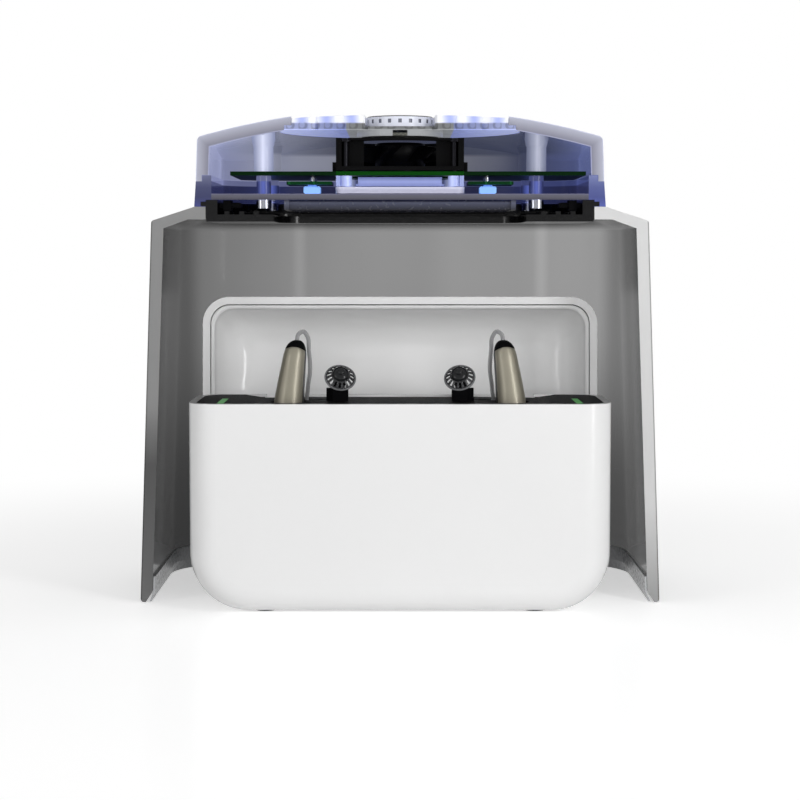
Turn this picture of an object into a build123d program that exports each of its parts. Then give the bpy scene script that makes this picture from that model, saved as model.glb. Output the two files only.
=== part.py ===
"""Hearing aid dryer, shown as a bench section.

A smoked hood with a drying unit on its roof stands over a charging case with two hearing aids.
The front of the hood, of the drying unit's housings and of its boards is cut away at one plane.
Millimetres. Origin: middle of the outline, on the table. +X right, +Y to the back, +Z up.
"""
from build123d import *
from math import radians, sqrt, tan
import os

BIG = 400.0                       # reach of a cutting block
PAST = 1.0                        # how far a cutting tool runs past the face it opens
SNUG = 0.05                       # gap between pieces that sit on each other
EASY = 0.15                       # gap round a piece that drops into another
HAIR = 0.1                        # a hidden overlap, or a hairline gap between two mouldings
LOOSE = 0.25                      # gap round a screw or a plug in its hole
CLOSE = 0.03                      # gap of a pin or a ring in a close fit

# ---- hood ---------------------------------------------------------------------------------
SECTION_Y = -25.5                 # everything housed is cut away in front of this plane
DEPTH_SHORTFALL = 5.6             # hood and unit are this much shallower than they are wide

HOOD_HALF_FOOT = 75.0             # half-width on the table
HOOD_HALF_SHOULDER = 70.9         # half-width where the roof begins
HOOD_SHOULDER_Z = 109.8
HOOD_ROOF_Z = 113.8               # where the drying unit stands on the roof
HOOD_WALL = 3.4
HOOD_CORNER = 23.4
SHOULDER_CORNER = 22.0
INNER_CORNERS = (20.0, 19.0, 17.0)  # of the hollow, at the foot, the shoulder and the ceiling
HOOD_INNER_SHOULDER_Z = 107.7
HOOD_INNER_SHOULDER = 67.4
HOOD_CEILING_HALF = 60.5
HOOD_CEILING_Z = 110.2
ROOF_OPENING_HALF = 55.4
ROOF_OPENING_CORNER = 15.0
RIM_CHAMFER = 1.9
RIM_CHAMFER_HEIGHT = 6.08
RIM_ROUND = 1.0
CABLE_NOTCH = (14.0, 9.0)         # width, height of the notch in the rear of the rim
SEAL_Z = (0.2, 3.2, 7.5)          # foot of the seal's lip, its joint with the strip, the strip's top
SEAL_WALL = 0.5
SEAL_FLARE = 1.0

GASKET_Z = (109.6, 115.7)
GASKET_WALL = 3.2
GASKET_CORNER = 12.0
GASKET_BEAD = 1.4                 # how far the bead stands into the tray's groove
GASKET_BEAD_Z = (114.0, 115.2)
GASKET_FLANGE_TOP = 111.6
GASKET_RIBS = (50.0, 45.8, 41.6)  # half-width of each rib on the flange
GASKET_RIB = (1.4, 0.9)           # width, height
GASKET_RIB_CORNER = 10.0
GASKET_MOUTH = (36.0, 8.0)        # half-width and corner of the way through

HOOK_Y = (-19.0, 8.0)
HOOK_STEM = ((-50.6, -48.4), 3.5, (112.7, 115.7))  # span in x, half-breadth in y, heights
HOOK_NOSE = ((-51.7, -45.6), 2.6, (113.6, 114.9))

# ---- drying unit --------------------------------------------------------------------------
UNIT_HALF_FOOT = 58.6
UNIT_HALF_PARTING = 58.1
UNIT_HALF_SHOULDER = 57.2
UNIT_CORNER = 18.0
INNER_UNIT_CORNER = 14.4
UNIT_WALL = 3.6
UNIT_TOP_Z = 145.0                # above the dome, where the walls' taper is measured
PARTING_Z = 121.0
TONGUE_HEIGHT = 1.7
TONGUE_WALL = 2.6                 # thickness of the tray's tongue inside the cover's wall
TRAY_INNER_HALF = 53.7
TRAY_FLOOR = (115.8, 117.5)
AIR_HOLE = (15.0, -23.0, 6.0)     # half-width, front and back of the hole in the tray's floor
DOME_RADIUS = 210.0
SHOULDER_ROUND = 1.6
DOME_TOP_Z = 141.9                # where the dome's sphere would peak
AXIS_Y = -14.5                    # axis of the vent disc and of the button

VENT_RADIUS = 32.6
VENT_FLANGE_RADIUS = 34.6
VENT_FLANGE = (135.6, 136.8)
VENT_EDGE_Z = 138.85
VENT_RISE_RADIUS = 500.0          # very slight dome of the disc
VENT_RINGS = ((13.0, 17.6), (19.2, 23.8), (25.4, 30.0))
VENT_SLOTS = 30
VENT_SLOT_WIDTH = 1.1
BUTTON_WELL = 10.0
BOARD_RIM = (11.2, 12.4, 1.7)     # inside, outside and depth of the rim that holds the button's board

BUTTON_RADIUS = 9.7
BUTTON_WALL = 1.2
BUTTON_SKIRT_Z = 136.65
BUTTON_TOP_Z = 139.5
BUTTON_FILM = 0.25
FILM_INSET = 0.3
BUTTON_MARKS = 20
BUTTON_MARK = (1.0, 0.5, (137.7, 138.8))  # width, depth and heights of a mark in the skirt
STEM_RADIUS = 1.6
STEM_Z = 136.1                    # foot of the button's stem, which stands on the snap dome
SWITCH_Z = 134.75                 # top of the button's board
SWITCH_BOARD = (11.15, 0.8)       # radius, thickness
SNAP_RADIUS = 4.0
SNAP_CURVE = 6.3
SNAP_WALL = 0.2

BOARD_Z = (122.7, 123.8)
BOARD_X = (-48.3, 52.9)
BOARD_BACK_Y = 20.0
BOARD_CHAMFER = 6.0
BOSS_PLACES = [(x, y) for x in (-39.0, 39.0) for y in (-21.8, 16.0)]
BOSS_RADIUS = 2.85
BOSS_STEP_Z = 130.9
BOSS_FLARE = 0.235                # how much the boss's head widens per millimetre of height
PILLAR_RADIUS = 2.1
SCREW_RADIUS = 1.05
SCREW_HEAD = (2.2, 1.0, 113.4)    # radius, socket radius, lowest height
SCREW_TOP_Z = 129.0
CHIPS = ((-17.0, 11.4, 8.0, 7.6), (4.6, 11.4, 4.0, 4.0), (4.6, 16.0, 4.0, 3.4), (9.4, 11.4, 3.0, 8.0))
CHIP_HEIGHT = 1.3
CAPACITORS = ((-5.6, 14.6, 2.6, 6.0), (0.8, 14.6, 2.6, 6.0))
SOCKETS = ((15.6, 12.6), (15.6, 17.2))
SOCKET_SIZE = (3.0, 2.0, 3.4)     # half-width, half-depth, height
SOCKET_WALL = 0.8

FAN_Y = -8.0
FAN_HALF = 18.2
FAN_Z = (124.1, 133.3)
FAN_BORE = 16.6
FAN_FLOOR_Z = 125.2
FAN_FEET = (1.4, (-14.0, -2.0), 126.9)  # reach past the frame, span in y, height
FAN_WINDOW = (16.6, 13.0, (125.3, 132.6))  # half-width, distance from the axis, heights
FAN_BLADES = 7
FAN_SCREW = 15.6                  # the fan's screws from its axis, along X and along Y
FAN_SCREW_RADII = (0.95, 2.0)
FAN_SCREW_HEAD = 1.0
ROTOR_RADIUS = 15.8
ROTOR_Z = (125.8, 132.6)
HUB_RADIUS = 7.4
HUB_WALL = 1.3
HUB_CEILING_Z = 131.4
BLADE_PITCH = 14.0                # degrees each way from upright
BLADE = (8.6, 1.1, 11.3)          # chord along the radius, thickness, middle radius
BEARING_RADIUS = 2.0
BEARING_TOP_Z = 130.6
SHAFT_RADIUS = 0.98
STATOR_RADIUS = 3.6
STATOR_Z = (126.0, 129.6)
POLE_REACH = 5.4

DUCT_Z = (119.6, 122.6)
DUCT_BACK_Y = 9.6
DUCT_WALL = 1.2
OUTLET_Z = (117.6, 119.4)
OUTLET_SIZE = (36.8, 35.0, 2.0)   # width, depth, corner
OUTLET_HOLE = (1.2, 4.0, 4.6)     # radius, pitch along X and along Y
HEATER = ((-12.6, 12.6), (-22.6, 6.6), (119.7, 120.3))
HEATER_FIN = (12.0, 0.6, 122.3)   # half-width, thickness, top
HEATER_FINS = 9
HEATER_PITCH = 3.5
HEATER_SLOT = 1.8
GUARD = ((-33.0, 33.0), (SECTION_Y, 12.0), (112.9, 115.7))
GUARD_WALL = 1.4
LOUVRES = 7
LOUVRE = (0.9, 2.9, 5.2, 35.0)    # thickness, breadth, pitch, degrees of tilt

LAMP_X = 25.2
LAMP_Y = (-22.0, -16.0)
LAMP_HALF = 2.4
LAMP_Z = (117.6, 119.7)
LAMP_WINDOW = (4.4, (-22.9, -14.1))
LAMP_BOARD = (12.9, (-25.3, -10.0), (120.1, 121.0))
SPACER_Y = -12.2
SOCKET_Z = 119.3
PORT = (9.0, 3.2, 1.5, 8.0)       # width, height, corner and depth of a charging port's shell
PORT_WALL = 0.35

# ---- charging case ------------------------------------------------------------------------
CASE_HALF = 59.1
CASE_FRONT_Y = -46.7
CASE_BACK_Y = -7.0
CASE_RIM_Z = 59.0
CASE_FOOT = 0.25                  # the rubber feet stand this far out of the base
CASE_BOTTOM_CORNER = 16.6
CASE_EDGE_RADIUS = 8.0
CASE_WALL = 2.0
FOOT_PLACES = [(x, y) for x in (-38.0, 38.0) for y in (-36.0, -17.0)]
FOOT_RADIUS = 3.5
FOOT_HEIGHT = 0.8
CASE_PORT_Z = 10.8
DECK_Z = 58.3
DECK_END_Z = 59.0
DECK_UNDER_Z = 55.4
DECK_RAMP = (45.5, 41.0)          # from the middle: where a raised end begins, and its ramp's foot
STRIP_X = (-50.9, -49.2)
STRIP_Y = (-43.4, -25.6)
STRIP_DEPTH = 0.55
CASE_BOARD = ((-46.0, 46.0), (-41.0, -16.5), (37.4, 38.6))
PILLAR_PLACES = [(x, y) for x in (-37.0, 37.0) for y in (-34.0, -19.0)]
PILLAR = 2.4
CELL = ((-30.0, 30.0), (-36.8, -18.8), 11.4)  # span in x, in y, and thickness
CELL_ROUND = 1.5
COIL = (6.4, 2.6, (38.6, 40.4))   # outer and inner radius, heights

HINGE_Y = -9.0
HINGE_Z = 50.5
HINGE_X = 34.0
HINGE_ARM = 10.0
HINGE_KNUCKLE = 2.0
HINGE_GAP = 0.4
HINGE_WALL = 2.4
HINGE_BLOCK_Z = (45.6, 54.8)
PIN_RADIUS = 0.9
PIN_REACH = 6.5
RUNNING_GAP = 0.05
LID_TOP_Z = 83.8
LID_TOP_RADIUS = 7.8
LID_WALL = 2.2
LID_OPEN_DEGREES = 94.0
LINER_WALL = 1.0
LINER_RECESS = 0.9
LINER_ROUND = 5.5
PANEL = (98.0, 23.0, 5.0, 1.75)   # width, depth, corner and width of the raised frame in the lid

# ---- hearing aids -------------------------------------------------------------------------
# x, y, z, half-width and half-depth of the left aid's sections, from the foot up
SHELL_SECTIONS = ((-32.0, -27.4, 44.0, 3.2, 4.6), (-32.0, -27.3, 46.5, 4.0, 5.6),
                  (-31.7, -27.1, 58.0, 4.3, 5.8), (-31.2, -26.7, 63.1, 3.9, 5.4),
                  (-30.5, -26.0, 68.6, 3.45, 4.8), (-29.95, -25.4, 73.2, 3.0, 4.2))
CAP_SECTIONS = ((-29.95, -25.4, 73.25, 3.0, 4.2), (-29.8, -25.2, 74.5, 2.5, 3.5),
                (-29.65, -25.0, 75.4, 1.65, 2.3), (-29.55, -24.9, 75.8, 0.8, 1.1))
POCKET = (-32.0, -27.1, 5.0, 6.5)  # centre x, centre y, half-width, half-depth
POCKET_FLOOR_Z = 43.4
POCKET_WALL = 1.1
DOME_CENTRE = (-17.0, -27.4, 65.5)
DOME_AXIS = (0.12, -0.755, 0.645)
EAR_DOME_RADIUS = 4.5
# radius and height of the ear dome's section: stem, skirt, its edge, bulb and tip
EAR_DOME_LINE = ((0.9, -2.6), (2.0, -2.6), (2.0, -0.3), (EAR_DOME_RADIUS, -1.4), (EAR_DOME_RADIUS, -0.9),
                 (2.5, 0.6), (2.3, 1.7), (1.4, 2.2), (1.3, 2.8), (0.9, 2.95))
DOME_SLOTS = 12
DOME_SLOT = (3.4, 1.1, 0.7)       # middle radius, length, width
RECEIVER_RADIUS = 1.7
RECEIVER_RUN = (9.0, 2.65)        # its ends, as distances behind the ear dome's centre
CRADLE = ((-21.2, -14.9), (-25.4, -21.2), (DECK_Z, 61.9))
CRADLE_CHAMFER = 1.9
HOLDER_GAP = 0.3
WIRE_RADIUS = 0.55
WIRE_END = 9.3                    # distance of the wire's end behind the ear dome's centre
WIRE_ROUTE = ((-29.5, -24.9, 75.98), (-29.1, -24.8, 77.4), (-27.7, -24.4, 79.1), (-26.2, -23.9, 77.0),
              (-25.7, -23.4, 73.0), (-25.5, -22.8, 67.0), (-26.5, -21.8, 61.5), (-27.2, -20.6, 56.75),
              (-19.0, -17.9, 56.75))
CHANNEL_POINTS = ((-27.5, -20.95), (-18.9, -17.95), (-18.25, -19.9))  # its middle line, in plan
CHANNEL_HALF = 1.1
CHANNEL_FLOOR_Z = 55.9


# ---- helpers ------------------------------------------------------------------------------
def block(x, y, z):
    """A box between the low and high value on each axis."""
    centre = [(low + high) / 2 for low, high in (x, y, z)]
    size = [high - low for low, high in (x, y, z)]
    return Pos(*centre) * Box(*size)


def span(middle, half):
    """The two ends of a length about its middle."""
    return (middle - half, middle + half)


def rod(x, y, z, radius):
    """An upright cylinder between the two heights in z."""
    return Pos(x, y, (z[0] + z[1]) / 2) * Cylinder(radius, z[1] - z[0])


def rods(places, z, radius):
    """Separate upright cylinders, one at each place."""
    return Compound([rod(x, y, z, radius) for x, y in places])


def across(x, y, z, radius):
    """A cylinder that lies along X between the two values in x."""
    return Pos((x[0] + x[1]) / 2, y, z) * Rot(0, 90, 0) * Cylinder(radius, x[1] - x[0])


def along(start, end, radius):
    """A cylinder between two points."""
    line = Line(start, end)
    return extrude(Plane(origin=start, z_dir=line @ 1 - line @ 0) * Circle(radius), line.length)


def plan(half_width, corner, z):
    """Outline of the hood or the unit at one height, centred on the section plane."""
    width = 2 * half_width
    return Pos(0, SECTION_Y, z) * RectangleRounded(width, width - DEPTH_SHORTFALL, corner)


def tapered(low, high):
    """A solid between two outlines, each (half_width, corner, z)."""
    return loft([plan(*low), plan(*high)], ruled=True)


def upright(half_width, corner, z):
    """A solid of one outline between two heights."""
    return extrude(plan(half_width, corner, z[0]), z[1] - z[0])


def behind_section(solid):
    return solid & block((-BIG, BIG), (SECTION_Y, BIG), (-BIG, BIG))


def edges_at(solid, z):
    """Edges that lie flat at one height."""
    return solid.edges().filter_by_position(Axis.Z, z - 0.01, z + 0.01)


def both_sides(solid):
    return solid + mirror(solid, Plane.YZ)


def apart(shapes):
    """One piece made of all the separate solids in the shapes."""
    return Compound([solid for shape in shapes for solid in shape.solids()])


def ball(y, top_z, radius):
    return Pos(0, y, top_z - radius) * Sphere(radius)


def round_the_axis(solid, count, y):
    """Copies of a solid, evenly spaced round the upright axis at x = 0 and the given y."""
    turn = 360 / count
    return [Pos(0, y, 0) * Rot(0, 0, turn * i) * Pos(0, -y, 0) * solid for i in range(count)]


# ---- hood ---------------------------------------------------------------------------------
def hood_shell():
    """Smoked hood: tapered walls, shallow roof with an opening, bevelled rim, rear notch."""
    shoulder = (HOOD_HALF_SHOULDER, SHOULDER_CORNER, HOOD_SHOULDER_Z)
    body = tapered((HOOD_HALF_FOOT, HOOD_CORNER, 0), shoulder)
    body += tapered(shoulder, (UNIT_HALF_FOOT, UNIT_CORNER, HOOD_ROOF_Z))
    body = fillet(body.edges().group_by(Axis.Z)[0] + edges_at(body, HOOD_SHOULDER_Z), RIM_ROUND)
    inner_foot = HOOD_HALF_FOOT - HOOD_WALL
    inner_shoulder = (HOOD_INNER_SHOULDER, INNER_CORNERS[1], HOOD_INNER_SHOULDER_Z)
    hollow = tapered((inner_foot, INNER_CORNERS[0], 0), inner_shoulder)
    hollow += tapered(inner_shoulder, (HOOD_CEILING_HALF, INNER_CORNERS[2], HOOD_CEILING_Z))
    bevel = tapered((inner_foot + RIM_CHAMFER, INNER_CORNERS[0] + 1.5, 0),
                    (inner_foot - RIM_CHAMFER, INNER_CORNERS[0] - 1.5, RIM_CHAMFER_HEIGHT))
    opening = upright(ROOF_OPENING_HALF, ROOF_OPENING_CORNER, (HOOD_CEILING_Z - PAST, HOOD_ROOF_Z + PAST))
    return behind_section(body - hollow - bevel - opening - rear_notch())


def rear_notch():
    """Round-topped cut through the rear of the hood's rim."""
    width, height = CABLE_NOTCH
    back_y = SECTION_Y + HOOD_HALF_FOOT - DEPTH_SHORTFALL / 2
    depth = (back_y - 3 * HOOD_WALL, back_y + PAST)
    notch = block(span(0, width / 2), depth, (-PAST, height - width / 2))
    top = Pos(0, sum(depth) / 2, height - width / 2) * Rot(90, 0, 0)
    return notch + top * Cylinder(width / 2, depth[1] - depth[0])


def hood_rim_seal():
    """Thin clear strip on the inside of the rim, with a lip that flares under the bevel."""
    foot_z, joint_z, top_z = SEAL_Z
    outer = HOOD_HALF_FOOT - HOOD_WALL - LOOSE
    inner = outer - SEAL_WALL
    corner = INNER_CORNERS[0]
    lean = 0.2
    strip = tapered((outer, corner, joint_z), (outer - lean, corner, top_z))
    strip -= tapered((inner, corner - SEAL_WALL, joint_z), (inner - lean, corner - SEAL_WALL, top_z))
    lip = tapered((outer + SEAL_FLARE, corner + SEAL_WALL, foot_z), (outer, corner, joint_z))
    lip -= tapered((inner + SEAL_FLARE, corner, foot_z), (inner, corner - SEAL_WALL, joint_z))
    gap = block(span(0, CABLE_NOTCH[0] / 2 + PAST), (0, BIG), (-PAST, CABLE_NOTCH[1] + PAST))
    return behind_section(strip + lip - gap)


def roof_gasket():
    """Black rubber frame in the roof opening: collar with a bead, wide inner flange with ribs."""
    half = ROOF_OPENING_HALF - 0.2
    collar = upright(half, ROOF_OPENING_CORNER, GASKET_Z)
    collar += upright(ROOF_OPENING_HALF + GASKET_BEAD - SNUG, ROOF_OPENING_CORNER, GASKET_BEAD_Z)
    inside = half - GASKET_WALL
    collar -= upright(inside, GASKET_CORNER, (GASKET_Z[0] - PAST, GASKET_Z[1] + PAST))
    flange = upright(inside + 0.4, GASKET_CORNER, (GASKET_Z[0], GASKET_FLANGE_TOP))
    flange -= upright(*GASKET_MOUTH, (GASKET_Z[0] - PAST, GASKET_FLANGE_TOP + PAST))
    width, height = GASKET_RIB
    for rib_half in GASKET_RIBS:
        rib = upright(rib_half, GASKET_RIB_CORNER, (GASKET_FLANGE_TOP, GASKET_FLANGE_TOP + height))
        inside = upright(rib_half - width, GASKET_RIB_CORNER - 1, (GASKET_FLANGE_TOP - PAST, GASKET_Z[1]))
        flange += rib - inside
    return behind_section(collar + flange)


def snap_hooks():
    """Black hooks under the tray, two a side, that hold the unit in the roof opening."""
    hooks = []
    for y in HOOK_Y:
        stem, nose = (block(x, span(y, half), z) for x, half, z in (HOOK_STEM, HOOK_NOSE))
        hooks.append(both_sides(stem + nose))
    return apart(hooks)


# ---- drying unit --------------------------------------------------------------------------
def unit_tray():
    """Lower housing: skirt on the roof, floor with outlet and lamp windows, tongue on top."""
    body = tapered((UNIT_HALF_FOOT, UNIT_CORNER, HOOD_ROOF_Z + SNUG),
                   (UNIT_HALF_PARTING, UNIT_CORNER, PARTING_Z))
    tongue_half = TRAY_INNER_HALF + TONGUE_WALL
    body += upright(tongue_half, UNIT_CORNER - 2, (PARTING_Z - PAST, PARTING_Z + TONGUE_HEIGHT))
    body -= upright(TRAY_INNER_HALF, UNIT_CORNER - 4, (TRAY_FLOOR[1], PARTING_Z + 2 * TONGUE_HEIGHT))
    body -= upright(ROOF_OPENING_HALF, ROOF_OPENING_CORNER, (HOOD_ROOF_Z - PAST, TRAY_FLOOR[0]))
    body -= upright(ROOF_OPENING_HALF + GASKET_BEAD, ROOF_OPENING_CORNER, (GASKET_BEAD_Z[0] - SNUG,
                                                                         GASKET_BEAD_Z[1] + SNUG))
    through = (TRAY_FLOOR[0] - PAST, TRAY_FLOOR[1] + PAST)
    for x, y in BOSS_PLACES:
        body += rod(x, y, (TRAY_FLOOR[1] - 0.5, BOARD_Z[0] - SNUG), PILLAR_RADIUS)
        body -= rod(x, y, (TRAY_FLOOR[0] - PAST, BOARD_Z[1]), SCREW_RADIUS + EASY)
    half, front, back = AIR_HOLE
    body -= block(span(0, half), (front, back), through)
    half, depth = LAMP_WINDOW
    window = block(span(LAMP_X, half + HAIR), (depth[0] - HAIR, depth[1] + HAIR), through)
    body -= both_sides(window)
    width, height = PORT[0] / 2 + LOOSE, PORT[1] / 2 + HAIR
    body -= block(span(0, width), (BOARD_BACK_Y, BIG), span(SOCKET_Z, height))
    return behind_section(body)


def unit_cover():
    """Clear domed cover: thick walls, screw bosses, rebated opening for the vent disc."""
    outer = tapered((UNIT_HALF_PARTING, UNIT_CORNER, PARTING_Z),
                    (UNIT_HALF_SHOULDER, UNIT_CORNER, UNIT_TOP_Z))
    outer &= ball(AXIS_Y, DOME_TOP_Z, DOME_RADIUS)
    outer = fillet(outer.faces().sort_by(Axis.Z)[-1].edges(), SHOULDER_ROUND)
    inner = tapered((UNIT_HALF_PARTING - UNIT_WALL, INNER_UNIT_CORNER, PARTING_Z - PAST),
                    (UNIT_HALF_SHOULDER - UNIT_WALL, INNER_UNIT_CORNER, UNIT_TOP_Z))
    inner &= ball(AXIS_Y, DOME_TOP_Z - UNIT_WALL, DOME_RADIUS - UNIT_WALL)
    rebate_half = TRAY_INNER_HALF + TONGUE_WALL + HAIR
    rebate = upright(rebate_half, UNIT_CORNER - 1.9, (PARTING_Z - PAST, PARTING_Z + TONGUE_HEIGHT + HAIR))
    cover = outer - inner - rebate
    cover -= rod(0, AXIS_Y, (VENT_FLANGE[1], UNIT_TOP_Z), VENT_RADIUS + EASY)
    cover -= rod(0, AXIS_Y, (BOARD_Z[1], VENT_FLANGE[1] + SNUG), VENT_FLANGE_RADIUS + EASY)
    right = [cover_boss(x, y) for x, y in BOSS_PLACES if x > 0]
    for boss in right + [mirror(boss, Plane.YZ) for boss in right]:
        cover += boss
    return behind_section(cover)


def cover_boss(x, y):
    """Hollow screw boss with a flared head that ends amid the dome's wall."""
    dome = DOME_RADIUS - UNIT_WALL / 2
    rise = DOME_TOP_Z - DOME_RADIUS + sqrt(dome ** 2 - x ** 2 - (y - AXIS_Y) ** 2) - BOSS_STEP_Z
    head = Cone(BOSS_RADIUS + HAIR, BOSS_RADIUS + BOSS_FLARE * rise, rise,
                align=(Align.CENTER, Align.CENTER, Align.MIN))
    boss = rod(x, y, (BOARD_Z[1] + SNUG, BOSS_STEP_Z), BOSS_RADIUS) + Pos(x, y, BOSS_STEP_Z) * head
    return boss - rod(x, y, (BOARD_Z[1] - PAST, BOSS_STEP_Z - PAST), SCREW_RADIUS)


def vent_disc():
    """White disc with three rings of radial slots, a rim for the button's board and a well for the
    button, opened at the front of the section."""
    top = rod(0, AXIS_Y, (VENT_FLANGE[1], UNIT_TOP_Z), VENT_RADIUS)
    peak = VENT_EDGE_Z + VENT_RADIUS ** 2 / (2 * VENT_RISE_RADIUS)
    disc = top & ball(AXIS_Y, peak, VENT_RISE_RADIUS)
    disc += rod(0, AXIS_Y, VENT_FLANGE, VENT_FLANGE_RADIUS)
    inside, outside, depth = BOARD_RIM
    rim_z = (VENT_FLANGE[0] - depth, VENT_FLANGE[0] + HAIR)
    disc += rod(0, AXIS_Y, rim_z, outside) - rod(0, AXIS_Y, rim_z, inside)
    through = (VENT_FLANGE[0] - 2 * depth, UNIT_TOP_Z)
    for low, high in VENT_RINGS:
        slot = block((low, high), span(AXIS_Y, VENT_SLOT_WIDTH / 2), through)
        disc -= round_the_axis(slot, VENT_SLOTS, AXIS_Y)
    disc -= rod(0, AXIS_Y, through, BUTTON_WELL)
    disc -= block(span(0, BUTTON_WELL), (SECTION_Y - PAST, AXIS_Y), (BUTTON_SKIRT_Z - HAIR, UNIT_TOP_Z))
    return behind_section(disc)


def power_button():
    """White push button: a cap with a skirt that has small windows all round."""
    cap = rod(0, AXIS_Y, (BUTTON_SKIRT_Z, BUTTON_TOP_Z), BUTTON_RADIUS)
    cap -= rod(0, AXIS_Y, (BUTTON_SKIRT_Z - PAST, BUTTON_TOP_Z - BUTTON_WALL), BUTTON_RADIUS - BUTTON_WALL)
    width, depth, z = BUTTON_MARK
    mark = block((BUTTON_RADIUS - depth, BUTTON_RADIUS + PAST), span(AXIS_Y, width / 2), z)
    cap -= round_the_axis(mark, BUTTON_MARKS, AXIS_Y)
    return cap + rod(0, AXIS_Y, (STEM_Z, BUTTON_TOP_Z - BUTTON_WALL / 2), STEM_RADIUS)


def button_film():
    """Thin black film laid on top of the button."""
    return rod(0, AXIS_Y, (BUTTON_TOP_Z, BUTTON_TOP_Z + BUTTON_FILM), BUTTON_RADIUS - FILM_INSET)


def button_board():
    """Small round board that closes the button's well, held in the vent's rim."""
    radius, thickness = SWITCH_BOARD
    return rod(0, AXIS_Y, (SWITCH_Z - thickness, SWITCH_Z), radius)


def snap_dome():
    """Metal dome under the button's stem, which clicks and pushes the button back."""
    top = STEM_Z - SNUG
    dome = rod(0, AXIS_Y, (SWITCH_Z, STEM_Z), SNAP_RADIUS) & ball(AXIS_Y, top, SNAP_CURVE)
    under = rod(0, AXIS_Y, (SWITCH_Z - PAST, STEM_Z), SNAP_RADIUS - SNAP_WALL)
    return dome - (under & ball(AXIS_Y, top - SNAP_WALL, SNAP_CURVE))


def main_board():
    """Green board across the unit, with an air hole under the fan."""
    board = block(BOARD_X, (SECTION_Y, BOARD_BACK_Y), BOARD_Z)
    board = chamfer(board.edges().filter_by(Axis.Z).group_by(Axis.Y)[-1], BOARD_CHAMFER)
    through = (BOARD_Z[0] - PAST, BOARD_Z[1] + PAST)
    board -= rod(0, FAN_Y, through, FAN_BORE - 1.6)
    board -= [rod(x, y, through, FAN_SCREW_RADII[0] + LOOSE) for x, y in fan_screw_places()]
    board -= [rod(x, y, through, SCREW_RADIUS + LOOSE) for x, y in BOSS_PLACES]
    return board


def board_chips():
    """Flat chips on the board, behind the fan."""
    top = (BOARD_Z[1], BOARD_Z[1] + CHIP_HEIGHT)
    return Compound([block((x, x + width), (y, y + depth), top) for x, y, width, depth in CHIPS])


def board_capacitors():
    """Upright round capacitors on the board, behind the fan."""
    top = BOARD_Z[1]
    return Compound([rod(x, y, (top, top + height), radius) for x, y, radius, height in CAPACITORS])


def board_connectors():
    """White plug sockets for the fan lead and the button lead."""
    half_width, half_depth, height = SOCKET_SIZE
    top = BOARD_Z[1]
    sockets = []
    for x, y in SOCKETS:
        socket = block(span(x, half_width), span(y, half_depth), (top, top + height))
        socket -= block(span(x, half_width - SOCKET_WALL), span(y, half_depth - SOCKET_WALL),
                        (top + SOCKET_WALL, top + height + PAST))
        sockets.append(socket)
    return apart(sockets)


def fan_screw_places():
    return [(x, FAN_Y + y) for x in (-FAN_SCREW, FAN_SCREW) for y in (-FAN_SCREW, FAN_SCREW)]


def fan_frame():
    """Square fan frame with side feet, a round bore and its front wall cut open."""
    through = (FAN_Z[0] - PAST, FAN_Z[1] + PAST)
    frame = block(span(0, FAN_HALF), span(FAN_Y, FAN_HALF), FAN_Z)
    reach, depth, top = FAN_FEET
    frame += block(span(0, FAN_HALF + reach), depth, (FAN_Z[0], top))
    frame -= rod(0, FAN_Y, through, FAN_BORE)
    half, distance, z = FAN_WINDOW
    frame -= block(span(0, half), (SECTION_Y - PAST, FAN_Y - distance), z)
    spoke = block((HUB_RADIUS - 2, FAN_BORE + PAST), span(FAN_Y, 0.9), (FAN_Z[0], FAN_FLOOR_Z))
    spoke = Pos(0, FAN_Y, 0) * Rot(0, 0, 45) * Pos(0, -FAN_Y, 0) * spoke
    for copy in round_the_axis(spoke, 4, FAN_Y):
        frame += copy
    frame += rod(0, FAN_Y, (FAN_Z[0], FAN_FLOOR_Z), HUB_RADIUS - 0.4)
    frame += rod(0, FAN_Y, (FAN_Z[0], BEARING_TOP_Z), BEARING_RADIUS)
    frame -= rod(0, FAN_Y, (FAN_FLOOR_Z, BEARING_TOP_Z + PAST), SHAFT_RADIUS + RUNNING_GAP + CLOSE)
    for x, y in fan_screw_places():
        frame -= rod(x, y, through, FAN_SCREW_RADII[0] + LOOSE + HAIR)
        frame -= rod(x, y, (FAN_Z[1] - FAN_SCREW_HEAD, FAN_Z[1] + PAST), FAN_SCREW_RADII[1] + HAIR)
    return behind_section(frame)


def fan_stator():
    """Copper-wound ring with four poles, fixed round the bearing tube."""
    ring = rod(0, FAN_Y, STATOR_Z, STATOR_RADIUS) - rod(0, FAN_Y, FAN_Z, BEARING_RADIUS + CLOSE)
    pole = block((STATOR_RADIUS - 0.4, POLE_REACH), span(FAN_Y, 1.5), (STATOR_Z[0] + 0.2, STATOR_Z[1] - 0.2))
    for copy in round_the_axis(pole, 4, FAN_Y):
        ring += copy
    return ring


def fan_rotor():
    """Hub cup with seven pitched blades."""
    hollow = rod(0, FAN_Y, (ROTOR_Z[0] - PAST, HUB_CEILING_Z), HUB_RADIUS - HUB_WALL)
    rotor = rod(0, FAN_Y, ROTOR_Z, HUB_RADIUS)
    length, thickness, middle = BLADE
    low, high = (Pos(0, FAN_Y, z) * Rot(0, 0, turn) * Pos(middle, 0, 0) * Rectangle(length, thickness)
                 for z, turn in ((ROTOR_Z[0] + 0.6, -BLADE_PITCH), (ROTOR_Z[1] - 0.2, BLADE_PITCH)))
    blade = loft([low, high]) & rod(0, FAN_Y, ROTOR_Z, ROTOR_RADIUS)
    for copy in round_the_axis(blade, FAN_BLADES, FAN_Y):
        rotor += copy
    return rotor - hollow - rod(0, FAN_Y, (ROTOR_Z[0], ROTOR_Z[1] + PAST), SHAFT_RADIUS)


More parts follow.
